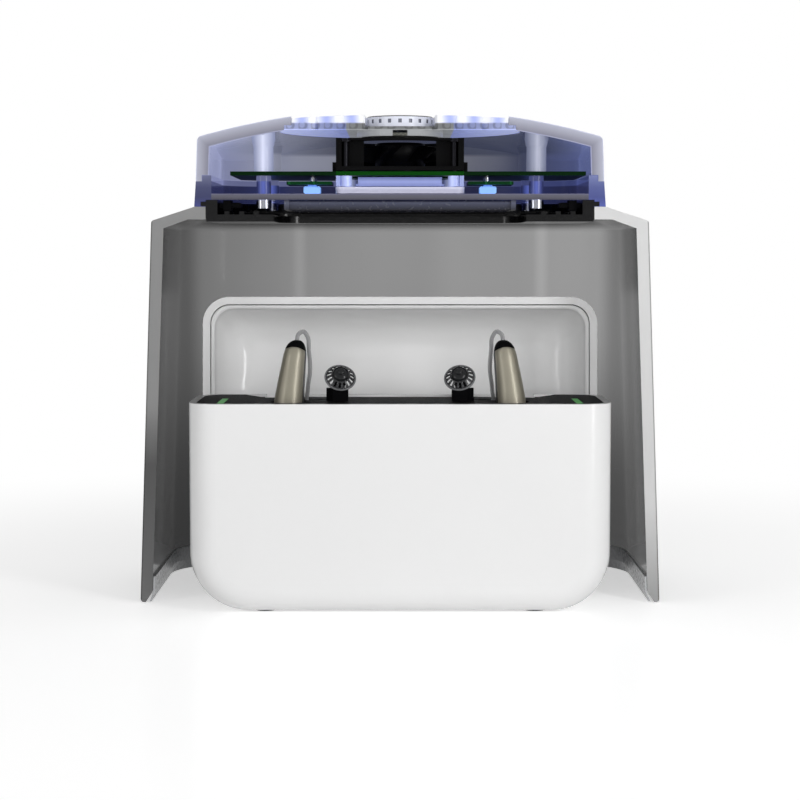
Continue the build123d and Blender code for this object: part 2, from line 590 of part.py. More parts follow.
def fan_shaft():
    return rod(0, FAN_Y, (FAN_FLOOR_Z + 0.3, ROTOR_Z[1] - HAIR), SHAFT_RADIUS)


def fan_screws():
    """Four long screws through the fan's corners into the duct below."""
    shank_radius, head_radius = FAN_SCREW_RADII
    screws = []
    for x, y in fan_screw_places():
        head = rod(x, y, (FAN_Z[1] - FAN_SCREW_HEAD, FAN_Z[1] - HAIR), head_radius)
        screws.append(behind_section(head + rod(x, y, (DUCT_Z[0] + 1.4, FAN_Z[1] - 0.5), shank_radius)))
    return apart(screws)


def air_duct():
    """Light frame that leads the air from the fan through the heater, with corner posts."""
    through = (DUCT_Z[0] - PAST, DUCT_Z[1] + PAST)
    duct = block(span(0, FAN_HALF), (SECTION_Y, DUCT_BACK_Y), DUCT_Z)
    duct -= block(span(0, FAN_HALF - DUCT_WALL), (SECTION_Y - PAST, DUCT_BACK_Y - DUCT_WALL), through)
    for x, y in fan_screw_places():
        duct += rod(x, y, DUCT_Z, 2 * FAN_SCREW_RADII[0])
        duct -= rod(x, y, through, FAN_SCREW_RADII[0] + SNUG)
    return behind_section(duct)


def heater():
    """Heating plate with thin upright fins across the duct and slots between them."""
    x, y, z = HEATER
    plate = block(x, y, z)
    half, thickness, top = HEATER_FIN
    for i in range(HEATER_FINS):
        middle = y[0] + HEATER_PITCH * i + thickness
        plate += block(span(0, half), span(middle, thickness / 2), (z[1] - HAIR, top))
    for i in range(HEATER_FINS - 1):
        middle = y[0] + HEATER_PITCH * (i + 0.5) + thickness
        plate -= block(span(0, half - 1), span(middle, HEATER_SLOT / 2), (z[0] - PAST, z[1] + PAST))
    return plate


def outlet_plate():
    """White rounded plate under the duct with rows of air holes."""
    width, depth, corner = OUTLET_SIZE
    outline = Pos(0, (SECTION_Y + DUCT_BACK_Y) / 2, OUTLET_Z[0]) * RectangleRounded(width, depth, corner)
    plate = extrude(outline, OUTLET_Z[1] - OUTLET_Z[0])
    radius, pitch_x, pitch_y = OUTLET_HOLE
    through = (OUTLET_Z[0] - PAST, OUTLET_Z[1] + PAST)
    return plate - [rod(pitch_x * (column - 3), SECTION_Y + 6 + pitch_y * row, through, radius)
                    for column in range(7) for row in range(6)]


def outlet_guard():
    """Louvred guard under the tray's floor, where the air enters the hood."""
    x, y, z = GUARD
    box = block(x, y, z)
    inside = (span(0, x[1] - GUARD_WALL), (y[0] - PAST, y[1] - GUARD_WALL), (z[0] - PAST, z[1] + PAST))
    guard = box - block(*inside)
    thickness, breadth, pitch, tilt = LOUVRE
    blade = Rot(tilt, 0, 0) * Box(x[1] - x[0] - 2 * GUARD_WALL + 0.4, thickness, breadth)
    for i in range(LOUVRES):
        guard += Pos(0, y[0] + 1.9 + pitch * i, (z[0] + z[1]) / 2) * blade
    return guard & box


def lamp_board(side):
    length, y, z = LAMP_BOARD
    return block(span(side * (LAMP_X + 0.65), length / 2), y, z)


def lamp_spacer(side):
    """Short pillar that hangs the lamp board from the main board."""
    return rod(side * LAMP_X, SPACER_Y, (LAMP_BOARD[2][1], BOARD_Z[0]), 1.0)


def lamp(side):
    """Block-shaped lamp with softened edges on a narrow foot."""
    x = side * LAMP_X
    body = block(span(x, LAMP_HALF), LAMP_Y, LAMP_Z)
    body = chamfer(body.edges().filter_by(Axis.Y), 0.35)
    foot_y = (LAMP_Y[0] + 1, LAMP_Y[1] - 1)
    return body + block(span(x, LAMP_HALF / 2), foot_y, (LAMP_Z[1] - HAIR, LAMP_BOARD[2][0]))


def lamp_window(side):
    half, y = LAMP_WINDOW
    return block(span(side * LAMP_X, half), y, (TRAY_FLOOR[0] + HAIR, TRAY_FLOOR[1]))


def tray_screws():
    """Four screws from under the tray, through the board, into the cover's bosses."""
    radius, socket, low = SCREW_HEAD
    screws = []
    for x, y in BOSS_PLACES:
        head = rod(x, y, (low, TRAY_FLOOR[0]), radius) - rod(x, y, (low - PAST, low + 0.8), socket)
        screws.append(head + rod(x, y, (TRAY_FLOOR[0] - 0.8, SCREW_TOP_Z), SCREW_RADIUS - CLOSE))
    return apart(screws)


def port_shell(mouth_y, z):
    """Metal shell of a charging port that opens to the back at mouth_y, with its tongue."""
    width, height, corner, depth = PORT
    middle = Pos(0, mouth_y - depth / 2, z) * Rot(90, 0, 0)
    shell = middle * extrude(RectangleRounded(width, height, corner), depth / 2, both=True)
    inside = RectangleRounded(width - 2 * PORT_WALL, height - 2 * PORT_WALL, corner - 0.3)
    shell -= Pos(0, PAST, 0) * middle * extrude(inside, depth / 2, both=True)
    return shell + block(span(0, 3.3), (mouth_y - depth + 0.6, mouth_y - 1.9), span(z, 0.3))


def power_socket():
    """Port in the rear wall of the tray."""
    return port_shell(SECTION_Y + UNIT_HALF_FOOT - DEPTH_SHORTFALL / 2 - 0.2, SOCKET_Z)


# ---- charging case ------------------------------------------------------------------------
def case_form(inset, floor_z, top_z):
    """Solid of the case's outer form, or of its inside where inset is the wall."""
    half = CASE_HALF - inset
    corner = CASE_BOTTOM_CORNER - inset
    depth = (CASE_FRONT_Y + inset, CASE_BACK_Y - inset)
    face = Rectangle(2 * half, top_z - floor_z + 2 * corner)
    face = fillet(face.vertices(), corner)
    form = extrude(Plane.XZ * face, (depth[1] - depth[0]) / 2, both=True)
    form = Pos(0, sum(depth) / 2, (floor_z + top_z) / 2 + corner) * form
    edges = form.edges().group_by(Axis.Y)
    form = fillet(edges[0] + edges[-1], CASE_EDGE_RADIUS - inset)
    return form & block((-BIG, BIG), (-BIG, BIG), (floor_z, top_z))


def hinge_pocket():
    """Room for one hinge arm and its knuckle, about x = 0."""
    reach = HINGE_KNUCKLE + HINGE_GAP
    return block(span(0, HINGE_ARM / 2 + HINGE_GAP), (HINGE_Y - reach, CASE_BACK_Y + PAST),
                 (HINGE_Z - reach - 0.6, CASE_RIM_Z + PAST))


def case_shell():
    """Glossy white shell with hinge pockets in the back, a port hole and seats for the feet."""
    shell = case_form(0, CASE_FOOT, CASE_RIM_Z)
    shell -= case_form(CASE_WALL, CASE_FOOT + CASE_WALL, CASE_RIM_Z + 5)
    wall = block(span(0, HINGE_ARM / 2 + HINGE_WALL), (-13.0, CASE_BACK_Y - PAST), HINGE_BLOCK_Z)
    pin_hole = across(span(0, PIN_REACH + HAIR), HINGE_Y, HINGE_Z, PIN_RADIUS + CLOSE)
    for x in (-HINGE_X, HINGE_X):
        shell += Pos(x, 0, 0) * wall
        shell -= Pos(x, 0, 0) * (hinge_pocket() + pin_hole)
    shell -= block(span(0, PORT[0] / 2 + LOOSE), (CASE_BACK_Y - 5, 0), span(CASE_PORT_Z, PORT[1] / 2 + 0.2))
    for x, y in FOOT_PLACES:
        shell -= rod(x, y, (-PAST, FOOT_HEIGHT + SNUG), FOOT_RADIUS + SNUG)
    return shell


def case_feet():
    """Four round rubber feet, set into the base."""
    return rods(FOOT_PLACES, (0.0, FOOT_HEIGHT), FOOT_RADIUS)


def pocket_form(margin, z):
    x, y, half_width, half_depth = POCKET
    outline = Ellipse(half_width + margin, half_depth + margin)
    return Pos(x, y, z[0]) * extrude(outline, z[1] - z[0])


def wire_channel():
    """Open channel in the deck where the left wire lies, in two straight lengths."""
    lengths = []
    for start, end in zip(CHANNEL_POINTS, CHANNEL_POINTS[1:]):
        ends = [edge for x, y in (start, end) for edge in (Pos(x, y) * Circle(CHANNEL_HALF)).edges()]
        lengths.append(Pos(0, 0, CHANNEL_FLOOR_Z) * extrude(make_hull(ends), DECK_END_Z - CHANNEL_FLOOR_Z))
    return lengths[0] + lengths[1]


def deck():
    """Black deck: raised ends, two deep pockets for the aids, a channel for each wire."""
    form = case_form(CASE_WALL + HAIR, DECK_UNDER_Z - 30, DECK_END_Z)
    plate = form & block((-BIG, BIG), (-BIG, BIG), (DECK_UNDER_Z, DECK_END_Z))
    outer, inner = DECK_RAMP
    ramp = Polyline((-outer, DECK_END_Z + PAST), (-outer, DECK_END_Z), (-inner, DECK_Z), (inner, DECK_Z),
                    (outer, DECK_END_Z), (outer, DECK_END_Z + PAST), close=True)
    plate -= extrude(Plane.XZ * make_face(ramp), BIG / 4, both=True)
    plate -= both_sides(block((STRIP_X[0] - HAIR, STRIP_X[1] + HAIR), (STRIP_Y[0] - HAIR, STRIP_Y[1] + HAIR),
                              (DECK_END_Z - STRIP_DEPTH - SNUG, DECK_END_Z + PAST)))
    plate -= both_sides(block(span(HINGE_X, HINGE_ARM / 2 + 0.8), (HINGE_Y - HINGE_KNUCKLE - 0.6, 0),
                              (DECK_UNDER_Z - PAST, DECK_END_Z + PAST)))
    cup = pocket_form(POCKET_WALL, (POCKET_FLOOR_Z - POCKET_WALL, DECK_Z))
    plate += both_sides(cup & block((-BIG, BIG), (-BIG, BIG), (0, DECK_UNDER_Z + 0.5)))
    plate -= both_sides(pocket_form(0, (POCKET_FLOOR_Z, DECK_Z + 5)))
    return plate - both_sides(wire_channel())


def receiver_axis(distance):
    """Point on the receiver's axis, this far behind the ear dome's centre."""
    return Vector(*DOME_CENTRE) - Vector(*DOME_AXIS) * distance


def receiver_holders():
    """Black cradle for each receiver, open at the top so that it lifts out."""
    cradle = block(*CRADLE)
    outer_front = cradle.edges().filter_by(Axis.Z).group_by(Axis.Y)[0].sort_by(Axis.X)[0]
    cradle = chamfer(outer_front, CRADLE_CHAMFER)
    way = along(receiver_axis(-2), receiver_axis(12), RECEIVER_RADIUS + HOLDER_GAP)
    cradle -= [Pos(0, 0, 0.9 * i) * way for i in range(8)]
    return apart([both_sides(cradle)])


def indicator_strip(side):
    strip = block(STRIP_X, STRIP_Y, (DECK_END_Z - STRIP_DEPTH, DECK_END_Z + SNUG))
    return strip if side < 0 else mirror(strip, Plane.YZ)


def charging_coils():
    """Flat copper coils on the case board, under the aids' pockets."""
    outer, inner, z = COIL
    x, y = POCKET[:2]
    coil = rod(x, y, z, outer) - rod(x, y, (z[0] - PAST, z[1] + PAST), inner)
    return apart([both_sides(coil)])


def case_board():
    return block(*CASE_BOARD)


def board_pillars():
    """Plastic pillars that carry the case board on the base."""
    return rods(PILLAR_PLACES, (CASE_FOOT + CASE_WALL, CASE_BOARD[2][0]), PILLAR)


def case_battery():
    """Flat rechargeable cell on the base."""
    x, y, thickness = CELL
    floor_z = CASE_FOOT + CASE_WALL
    cell = block(x, y, (floor_z, floor_z + thickness))
    return fillet(cell.edges().filter_by(Axis.X), CELL_ROUND)


def case_port():
    """Port in the back of the case."""
    return port_shell(CASE_BACK_Y - 0.2, CASE_PORT_Z)


def hinge_pins():
    return Compound([across(span(x, PIN_REACH), HINGE_Y, HINGE_Z, PIN_RADIUS) for x in (-HINGE_X, HINGE_X)])


def opened(solid):
    """Turns a lid piece from its closed place to its open place about the hinge."""
    return Pos(0, HINGE_Y, HINGE_Z) * Rot(-LID_OPEN_DEGREES, 0, 0) * Pos(0, -HINGE_Y, -HINGE_Z) * solid


def lid_form(inset, low_z, top_z, rounding):
    """Solid of the closed lid's outer form, or of its inside where inset is the wall."""
    half = CASE_HALF - inset
    depth = CASE_BACK_Y - CASE_FRONT_Y - 2 * inset
    middle_y = (CASE_BACK_Y + CASE_FRONT_Y) / 2
    outline = RectangleRounded(2 * half, depth, CASE_EDGE_RADIUS - inset)
    form = extrude(Pos(0, middle_y, low_z) * outline, top_z - low_z)
    return fillet(form.edges().group_by(Axis.Z)[-1], rounding)


def hinge_arm():
    """Arm with a round knuckle at its foot, about x = 0, below the closed lid."""
    joint_z = CASE_RIM_Z + EASY
    arm = block(span(0, HINGE_ARM / 2), (HINGE_Y - HINGE_KNUCKLE, CASE_BACK_Y), (HINGE_Z, CASE_RIM_Z + 3))
    arm -= block((-BIG, BIG), (-BIG, CASE_BACK_Y - LID_WALL), (joint_z, BIG))
    arm += across(span(0, HINGE_ARM / 2), HINGE_Y, HINGE_Z, HINGE_KNUCKLE)
    return arm - across(span(0, HINGE_ARM), HINGE_Y, HINGE_Z, PIN_RADIUS + RUNNING_GAP)


def case_lid():
    """Deep glossy lid with two hinge arms, standing open."""
    lid = lid_form(0, CASE_RIM_Z + EASY, LID_TOP_Z, LID_TOP_RADIUS)
    lid -= lid_form(LID_WALL, CASE_RIM_Z - PAST, LID_TOP_Z - LID_WALL, LID_TOP_RADIUS - LID_WALL)
    for x in (-HINGE_X, HINGE_X):
        lid += Pos(x, 0, 0) * hinge_arm()
    return opened(lid)


def lid_liner():
    """Pale inner moulding: a thin pan that lines the lid, with a raised frame on its middle."""
    foot_z = CASE_RIM_Z + EASY + LINER_RECESS
    outer, inner = LID_WALL + HAIR, LID_WALL + HAIR + LINER_WALL
    pan = lid_form(outer, foot_z, LID_TOP_Z - outer, LINER_ROUND)
    pan -= lid_form(inner, foot_z - PAST, LID_TOP_Z - inner, LINER_ROUND - LINER_WALL)
    width, depth, corner, band = PANEL
    middle = Pos(0, (CASE_BACK_Y + CASE_FRONT_Y) / 2, LID_TOP_Z - inner - 0.6)
    frame = extrude(middle * RectangleRounded(width, depth, corner), 0.7)
    frame -= extrude(middle * RectangleRounded(width - 2 * band, depth - 2 * band, corner - 1), 0.7)
    return opened(pan + frame)


# ---- hearing aids -------------------------------------------------------------------------
def through_sections(sections):
    """A smooth solid through level oval sections, each (x, y, z, half-width, half-depth)."""
    return loft([Pos(*section[:3]) * Ellipse(*section[3:]) for section in sections])


def aid_shell():
    """Slim curved shell that leans inward towards its top."""
    return through_sections(SHELL_SECTIONS)


def aid_cap():
    """Black rounded end piece that carries the wire's plug."""
    return through_sections(CAP_SECTIONS)


def even_radii(points):
    """Bend radius at each inner point: as large as the two runs beside it allow."""
    radii = []
    for before, corner, after in zip(points, points[1:], points[2:]):
        turn = radians((corner - before).get_angle(after - corner))
        shorter = min((corner - before).length, (after - corner).length)
        radii.append(0.45 * shorter / tan(turn / 2))
    return radii


def receiver_wire():
    """Preformed clear tube from the cap, over the top, down into the deck's channel and up to the
    receiver."""
    points = [Vector(*point) for point in WIRE_ROUTE] + [receiver_axis(WIRE_END)]
    path = FilletPolyline(*points, radius=even_radii(points))
    return sweep(Plane(origin=path @ 0, z_dir=path % 0) * Circle(WIRE_RADIUS), path)


def receiver():
    """Slim black sound unit between the wire and the ear dome."""
    back, front = RECEIVER_RUN
    return along(receiver_axis(back), receiver_axis(front), RECEIVER_RADIUS)


def ear_dome():
    """Soft slotted dome on the end of the receiver: skirt, bulb and tip."""
    dome = revolve(Plane.XZ * make_face(Polyline(*EAR_DOME_LINE, close=True)), Axis.Z)
    middle, length, width = DOME_SLOT
    slot = Pos(middle, 0, 0) * Box(length, width, 3 * EAR_DOME_RADIUS)
    dome -= [Rot(0, 0, 360 / DOME_SLOTS * i) * slot for i in range(DOME_SLOTS)]
    return Plane(origin=DOME_CENTRE, z_dir=DOME_AXIS).location * dome


# ---- writing ------------------------------------------------------------------------------
ONCE = (hood_shell, hood_rim_seal, roof_gasket, snap_hooks, unit_tray, unit_cover, vent_disc,
        power_button, button_film, button_board, snap_dome, main_board, board_chips,
        board_capacitors, board_connectors, fan_frame, fan_stator, fan_rotor, fan_shaft, fan_screws,
        air_duct, heater, outlet_plate, outlet_guard, tray_screws, power_socket, case_shell,
        case_feet, deck, receiver_holders, charging_coils, case_board, board_pillars, case_battery,
        case_port, hinge_pins, case_lid, lid_liner)
PLACED = (lamp_board, lamp_spacer, lamp, lamp_window, indicator_strip)
MIRRORED = (aid_shell, aid_cap, receiver_wire, receiver, ear_dome)


def parts():
    """Every piece of the assembly, by name."""
    pieces = {make.__name__: make() for make in ONCE}
    for name, side in (("left", -1), ("right", 1)):
        for make in PLACED:
            pieces[f"{name}_{make.__name__}"] = make(side)
        for make in MIRRORED:
            solid = make()
            pieces[f"{name}_{make.__name__}"] = solid if side < 0 else mirror(solid, Plane.YZ)
    return pieces


os.makedirs("parts", exist_ok=True)
for piece_name, piece in parts().items():
    export_step(piece, f"parts/{piece_name}.step")
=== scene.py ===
"""Hearing aid dryer: a smoked hood with a drying unit on its roof, over a charging case with two aids.

Metres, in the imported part's frame: +X right, +Y to the back, +Z up, origin on the table.
"""
import math

import bpy
import numpy as np
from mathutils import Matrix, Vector


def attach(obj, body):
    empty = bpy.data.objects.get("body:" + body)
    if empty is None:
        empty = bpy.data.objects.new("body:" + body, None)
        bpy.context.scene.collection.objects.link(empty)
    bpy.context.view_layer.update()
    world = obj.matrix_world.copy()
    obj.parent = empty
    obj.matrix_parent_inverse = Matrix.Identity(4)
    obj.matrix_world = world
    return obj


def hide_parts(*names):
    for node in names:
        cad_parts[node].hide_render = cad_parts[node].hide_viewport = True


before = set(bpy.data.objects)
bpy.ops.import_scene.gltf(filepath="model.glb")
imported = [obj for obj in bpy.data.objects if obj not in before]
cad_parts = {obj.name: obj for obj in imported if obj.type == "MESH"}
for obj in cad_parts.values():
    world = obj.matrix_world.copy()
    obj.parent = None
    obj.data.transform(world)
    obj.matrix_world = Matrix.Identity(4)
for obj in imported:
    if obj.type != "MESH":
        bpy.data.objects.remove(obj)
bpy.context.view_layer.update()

MM = 0.001
SECTION_Y = -25.5 * MM            # the bench section's plane
SAWN = SECTION_Y + 0.06 * MM      # a face in front of this is a sawn face
POST_X = 39 * MM                  # the front screw posts of the cover and the tray
DUCT_POST_X = 14.8 * MM           # the posts of the frosted duct
FAN_EDGE_X = 18.2 * MM            # the fan frame's outer edge
HOOK_STEP = 3.6 * MM              # from one painted slot end to the next, round the vent
HOOK_RADIUS = 1.15 * MM
AXIS_Y = -14.5 * MM               # the middle of the button and of the cover's dome
GROOVE = 0.86                     # where the paint ends on an aid, as a share of the way to its inner side
PAINTED_PALE_STREAKS = (-32 * MM, 45 * MM)  # where two faint painted highlights run pale up the rear wall


# ---- materials: the tools -------------------------------------------------------------------
def linear(colour):
    """An sRGB hex colour as linear red, green, blue and a full alpha."""
    parts = (int(colour[i:i + 2], 16) / 255 for i in (1, 3, 5))
    return tuple(v / 12.92 if v <= 0.04045 else ((v + 0.055) / 1.055) ** 2.4 for v in parts) + (1.0,)


def add(tree, kind, feeds=(), stops=(), **settings):
    """Adds a shader node. feeds gives its inputs, in order or by name, each a value, a hex colour, a node
    or an output; stops are the places and hex colours of a colour ramp."""
    node = tree.nodes.new("ShaderNode" + kind)
    for name, value in settings.items():
        setattr(node, name, value)
    for key, source in feeds.items() if isinstance(feeds, dict) else enumerate(feeds):
        socket = node.inputs[key]
        if isinstance(source, bpy.types.Node):
            source = source.outputs[0]
        if isinstance(source, bpy.types.NodeSocket):
            tree.links.new(source, socket)
        else:
            socket.default_value = linear(source) if isinstance(source, str) else source
    for index, (at, colour) in enumerate(stops):
        ramp = node.color_ramp.elements
        stop = ramp[index] if index < 2 else ramp.new(at)
        stop.position, stop.color = at, linear(colour)
    return node


def finish(name, **sockets):
    """A new material: its tree and its shader, with plain values on the shader's own sockets."""
    made = bpy.data.materials.new(name)
    made.use_nodes = True
    shader = made.node_tree.nodes["Principled BSDF"]
    for socket, value in sockets.items():
        value = linear(value) if isinstance(value, str) else value
        shader.inputs[socket.replace("_", " ")].default_value = value
    return made, made.node_tree, shader


def wire_up(tree, shader, **sources):
    """Feeds the shader's named sockets from nodes or outputs."""
    for socket, source in sources.items():
        source = source.outputs[0] if isinstance(source, bpy.types.Node) else source
        tree.links.new(source, shader.inputs[socket.replace("_", " ")])


def moulded(name, colour, deep, roughness, grain, depth, **sockets):
    """Moulded plastic or rubber: the tool's grain (mm) as bump of the given depth (mm), and a slow
    drift between two near colours and two near roughnesses, as from flow in the mould."""
    made, tree, shader = finish(name, **sockets)
    here = add(tree, "TexCoord").outputs["Object"]
    flow = add(tree, "TexNoise", {"Vector": here, "Scale": 1 / (28 * MM), "Detail": 3.0})
    fine = add(tree, "TexNoise", {"Vector": here, "Scale": 1 / (grain * MM), "Detail": 2.0})
    wire_up(tree, shader,
            Base_Color=add(tree, "MixRGB", [flow, deep, colour]),
            Roughness=add(tree, "MapRange", [fine, 0.3, 0.7, roughness * 0.85, roughness * 1.15]),
            Normal=add(tree, "Bump", {"Height": fine, "Distance": depth * MM, "Strength": 1.0}))
    return made, tree, shader


def metal(name, colour, roughness, mark, squeeze=(1, 1, 1), **sockets):
    """Bare metal: tool marks (mm across, squeezed along each axis) that vary gloss and tilt the surface."""
    made, tree, shader = finish(name, Metallic=1.0, **sockets)
    here = add(tree, "TexCoord").outputs["Object"]
    squeezed = add(tree, "Mapping", {"Vector": here, "Scale": squeeze})
    marks = add(tree, "TexNoise", {"Vector": squeezed, "Scale": 1 / (mark * MM), "Detail": 4.0})
    shade = add(tree, "MapRange", [marks, 0.0, 1.0, 0.85, 1.1])
    wire_up(tree, shader,
            Base_Color=add(tree, "HueSaturation", {"Color": colour, "Value": shade}),
            Roughness=add(tree, "MapRange", [marks, 0.3, 0.7, roughness * 0.7, roughness * 1.3]),
            Normal=add(tree, "Bump", {"Height": marks, "Distance": 0.02 * MM, "Strength": 0.5}))
    return made, tree, shader


def away_from(tree, value, mark):
    """How far a value lies from a mark, on either side."""
    return add(tree, "Math", [add(tree, "Math", [value, mark], operation="SUBTRACT")], operation="ABSOLUTE")


# ---- materials: the finishes ----------------------------------------------------------------
def smoked_acrylic():
    """Cast acrylic, smoke grey, polished. A white card shows grey through it, with painted light and shade in
    how much passes: painted lighter to the right and above the deck, painted shade deeper in the side walls
    and under the roof, and two faint painted pale streaks in the rear wall, standing in for reflections. The
    sawn edges are satin, with painted light to the right and a painted dark outer line."""
    made, tree, shader = finish("cast_acrylic_smoke_grey_polished", IOR=1.49, Specular_IOR_Level=0.07)
    here = add(tree, "TexCoord").outputs["Object"]
    x, y, z = add(tree, "SeparateXYZ", [here]).outputs
    reach = add(tree, "Math", [x], operation="ABSOLUTE")
    right = add(tree, "Math", [x, 0.0], operation="GREATER_THAN")
    # painted light: the rear wall lets more through towards the right
    spread = add(tree, "MapRange", [x, -70 * MM, 70 * MM])
    rear = add(tree, "ValToRGB", [spread], stops=(
        (0.0, "#6a6a6a"), (1.0, "#9c9c9c"), (0.25, "#888888"), (0.75, "#949494")))
    # painted shade: the side walls let less through, most of all at the front
    inward = add(tree, "MapRange", [y, -25.5 * MM, 40 * MM])
    side_left = add(tree, "MixRGB", [inward, "#262626", "#595959"])
    side_right = add(tree, "ValToRGB", [inward], stops=(
        (0.0, "#262626"), (1.0, "#868686"), (0.45, "#404040")))
    sides = add(tree, "MixRGB", [right, side_left, side_right])
    at_side = add(tree, "MapRange", [reach, 62 * MM, 67.5 * MM], interpolation_type="SMOOTHSTEP")
    high = add(tree, "MixRGB", [at_side, rear, sides])
    # painted shade: below the deck the acrylic lets less through
    low = add(tree, "MixRGB", [add(tree, "MapRange", [x, -30 * MM, 30 * MM]), "#3a3a3a", "#4e4e4e"])
    above_deck = add(tree, "MapRange", [z, 25 * MM, 80 * MM], interpolation_type="SMOOTHSTEP")
    card = add(tree, "MixRGB", [above_deck, low, high])
    long_way = add(tree, "Mapping", {"Vector": here, "Scale": (1.0, 1.0, 0.12)})
    flow = add(tree, "TexNoise", {"Vector": long_way, "Scale": 1 / (22 * MM), "Detail": 1.0})
    streak = add(tree, "MapRange", [flow, 0.3, 0.7, 0.94, 1.06])
    # painted shade: it lets much less through just under the roof
    under_roof = add(tree, "MapRange", [z, 107 * MM, 110.4 * MM, 1.0, 0.1], interpolation_type="SMOOTHSTEP")
    # painted highlight: two faint pale streaks in the rear wall, in place of reflections
    off_left, off_right = (away_from(tree, x, at) for at in PAINTED_PALE_STREAKS)
    off_streak = add(tree, "Math", [off_left, off_right], operation="MINIMUM")
    pale = add(tree, "MapRange", [off_streak, 0.0, 3.2 * MM, 1.2, 1.0], interpolation_type="SMOOTHSTEP")
    streak = add(tree, "Math", [streak, pale], operation="MULTIPLY")
    shade = add(tree, "Math", [streak, under_roof], operation="MULTIPLY")
    passed = add(tree, "Math", [card, shade], operation="MULTIPLY")
    a_face = add(tree, "Math", [passed, 0.5], operation="POWER")
    sawn = add(tree, "Math", [y, SAWN], operation="LESS_THAN")
    covered = add(tree, "Math", [1.0, a_face], operation="SUBTRACT")
    alpha = add(tree, "Math", [covered, sawn], operation="MAXIMUM")
    # painted light and shade: the sawn edge darker on the left, pale to the right, and changing with height
    level = add(tree, "MapRange", [z, 0.0, 100 * MM])
    edge_left = add(tree, "ValToRGB", [level], stops=(
        (0.0, "#787878"), (1.0, "#949494"), (0.4, "#656565"), (0.56, "#949494")))
    edge_right = add(tree, "ValToRGB", [level], stops=((0.0, "#a2a2a2"), (1.0, "#dedede"), (0.28, "#d6d6d6")))
    edge = add(tree, "MixRGB", [right, edge_left, edge_right])
    # painted shade: a dark line along the outer skin of the sawn edge
    skin_x = add(tree, "Math", [z, -0.03734, 75 * MM], operation="MULTIPLY_ADD")
    skin_depth = add(tree, "Math", [skin_x, reach], operation="SUBTRACT")
    outline = add(tree, "MapRange", [skin_depth, 0.15 * MM, 0.45 * MM, 0.4, 1.0])
    edge = add(tree, "HueSaturation", {"Color": edge, "Value": outline})
    wire_up(tree, shader, Alpha=alpha,
            Base_Color=add(tree, "MixRGB", [sawn, "#1c1c1e", edge]),
            Roughness=add(tree, "MapRange", [sawn, 0.0, 1.0, 0.12, 0.5]))
    return made


def clear_polycarbonate():
    """Polycarbonate, moulded clear with a faint violet cast. The lamps' light is painted into its walls: a
    sawn edge is painted pale lilac at the skin and greyer in the middle. Inside, the walls have a painted
    glow, lilac on the left and dusk blue on the right; the roof above them has painted slate shade; and the
    front posts carry a painted highlight, dimmer on the right."""
    made, tree, shader = finish("polycarbonate_moulded_clear_violet", IOR=1.58, Roughness=0.14,
                                Specular_IOR_Level=0.3)
    x, y, z = add(tree, "SeparateXYZ", [add(tree, "TexCoord").outputs["Object"]]).outputs
    reach = add(tree, "Math", [x], operation="ABSOLUTE")
    sawn = add(tree, "Math", [y, SAWN], operation="LESS_THAN")
    away = add(tree, "CombineXYZ", [x, add(tree, "Math", [y, AXIS_Y], operation="SUBTRACT"),
                                    add(tree, "Math", [z, 68.1 * MM], operation="ADD")])
    from_middle = add(tree, "VectorMath", [away], operation="LENGTH").outputs["Value"]
    below_skin = add(tree, "Math", [210 * MM, from_middle], operation="SUBTRACT")
    side_x = add(tree, "Math", [z, -0.0375, 62.64 * MM], operation="MULTIPLY_ADD")
    beside_skin = add(tree, "Math", [side_x, reach], operation="SUBTRACT")
    nearest = add(tree, "Math", [below_skin, beside_skin], operation="MINIMUM")
    depth = add(tree, "MapRange", [nearest, 0.0, 3.6 * MM])
    # painted light: the sawn edge pale lilac at its skins, greyer in the middle
    sawn_tint = add(tree, "ValToRGB", [depth], stops=(
        (0.0, "#d4d8f0"), (1.0, "#b4b8da"), (0.1, "#babccd"), (0.9, "#8e8e9e")))
    # painted lamp light: the inner walls lilac on the left, dusk blue on the right
    along = add(tree, "MapRange", [x, -56 * MM, 56 * MM])
    wall = add(tree, "ValToRGB", [along], stops=(
        (0.0, "#8e93b4"), (1.0, "#5c6696"), (0.12, "#989bac"), (0.6, "#7d7f89"), (0.85, "#464b64")))
    slate = add(tree, "ValToRGB", [along], stops=(
        (0.0, "#9096b6"), (1.0, "#66709c"), (0.12, "#868a9e"), (0.36, "#464a5c"), (0.9, "#40465f")))
    # painted shade: the roof above the walls is slate
    roof = add(tree, "MapRange", [z, 130.2 * MM, 131.2 * MM])
    body = add(tree, "MixRGB", [roof, wall, slate])
    # painted highlight down each front post, dimmer to the right
    off_post = away_from(tree, reach, POST_X)
    in_ring = add(tree, "Math", [off_post, 3.4 * MM], operation="LESS_THAN")
    in_front = add(tree, "Math", [y, -16 * MM], operation="LESS_THAN")
    on_post = add(tree, "Math", [in_ring, in_front], operation="MULTIPLY")
    post = add(tree, "ValToRGB", [add(tree, "MapRange", [off_post, 0.0, 3 * MM])], stops=(
        (0.0, "#c6cadf"), (1.0, "#8a90ac"), (0.3, "#a9aec6")))
    right = add(tree, "MapRange", [x, -10 * MM, 10 * MM, 1.0, 0.62])
    body = add(tree, "MixRGB", [on_post, body, add(tree, "HueSaturation", {"Color": post, "Value": right})])
    # painted glow: the inner walls emit their painted colour
    wire_up(tree, shader, Alpha=add(tree, "Math", [sawn, 0.92], operation="MAXIMUM"),
            Base_Color=add(tree, "MixRGB", [sawn, body, sawn_tint]),
            Emission_Color=body,
            Emission_Strength=add(tree, "MapRange", [sawn, 0.0, 1.0, 0.5, 0.0]))
    return made


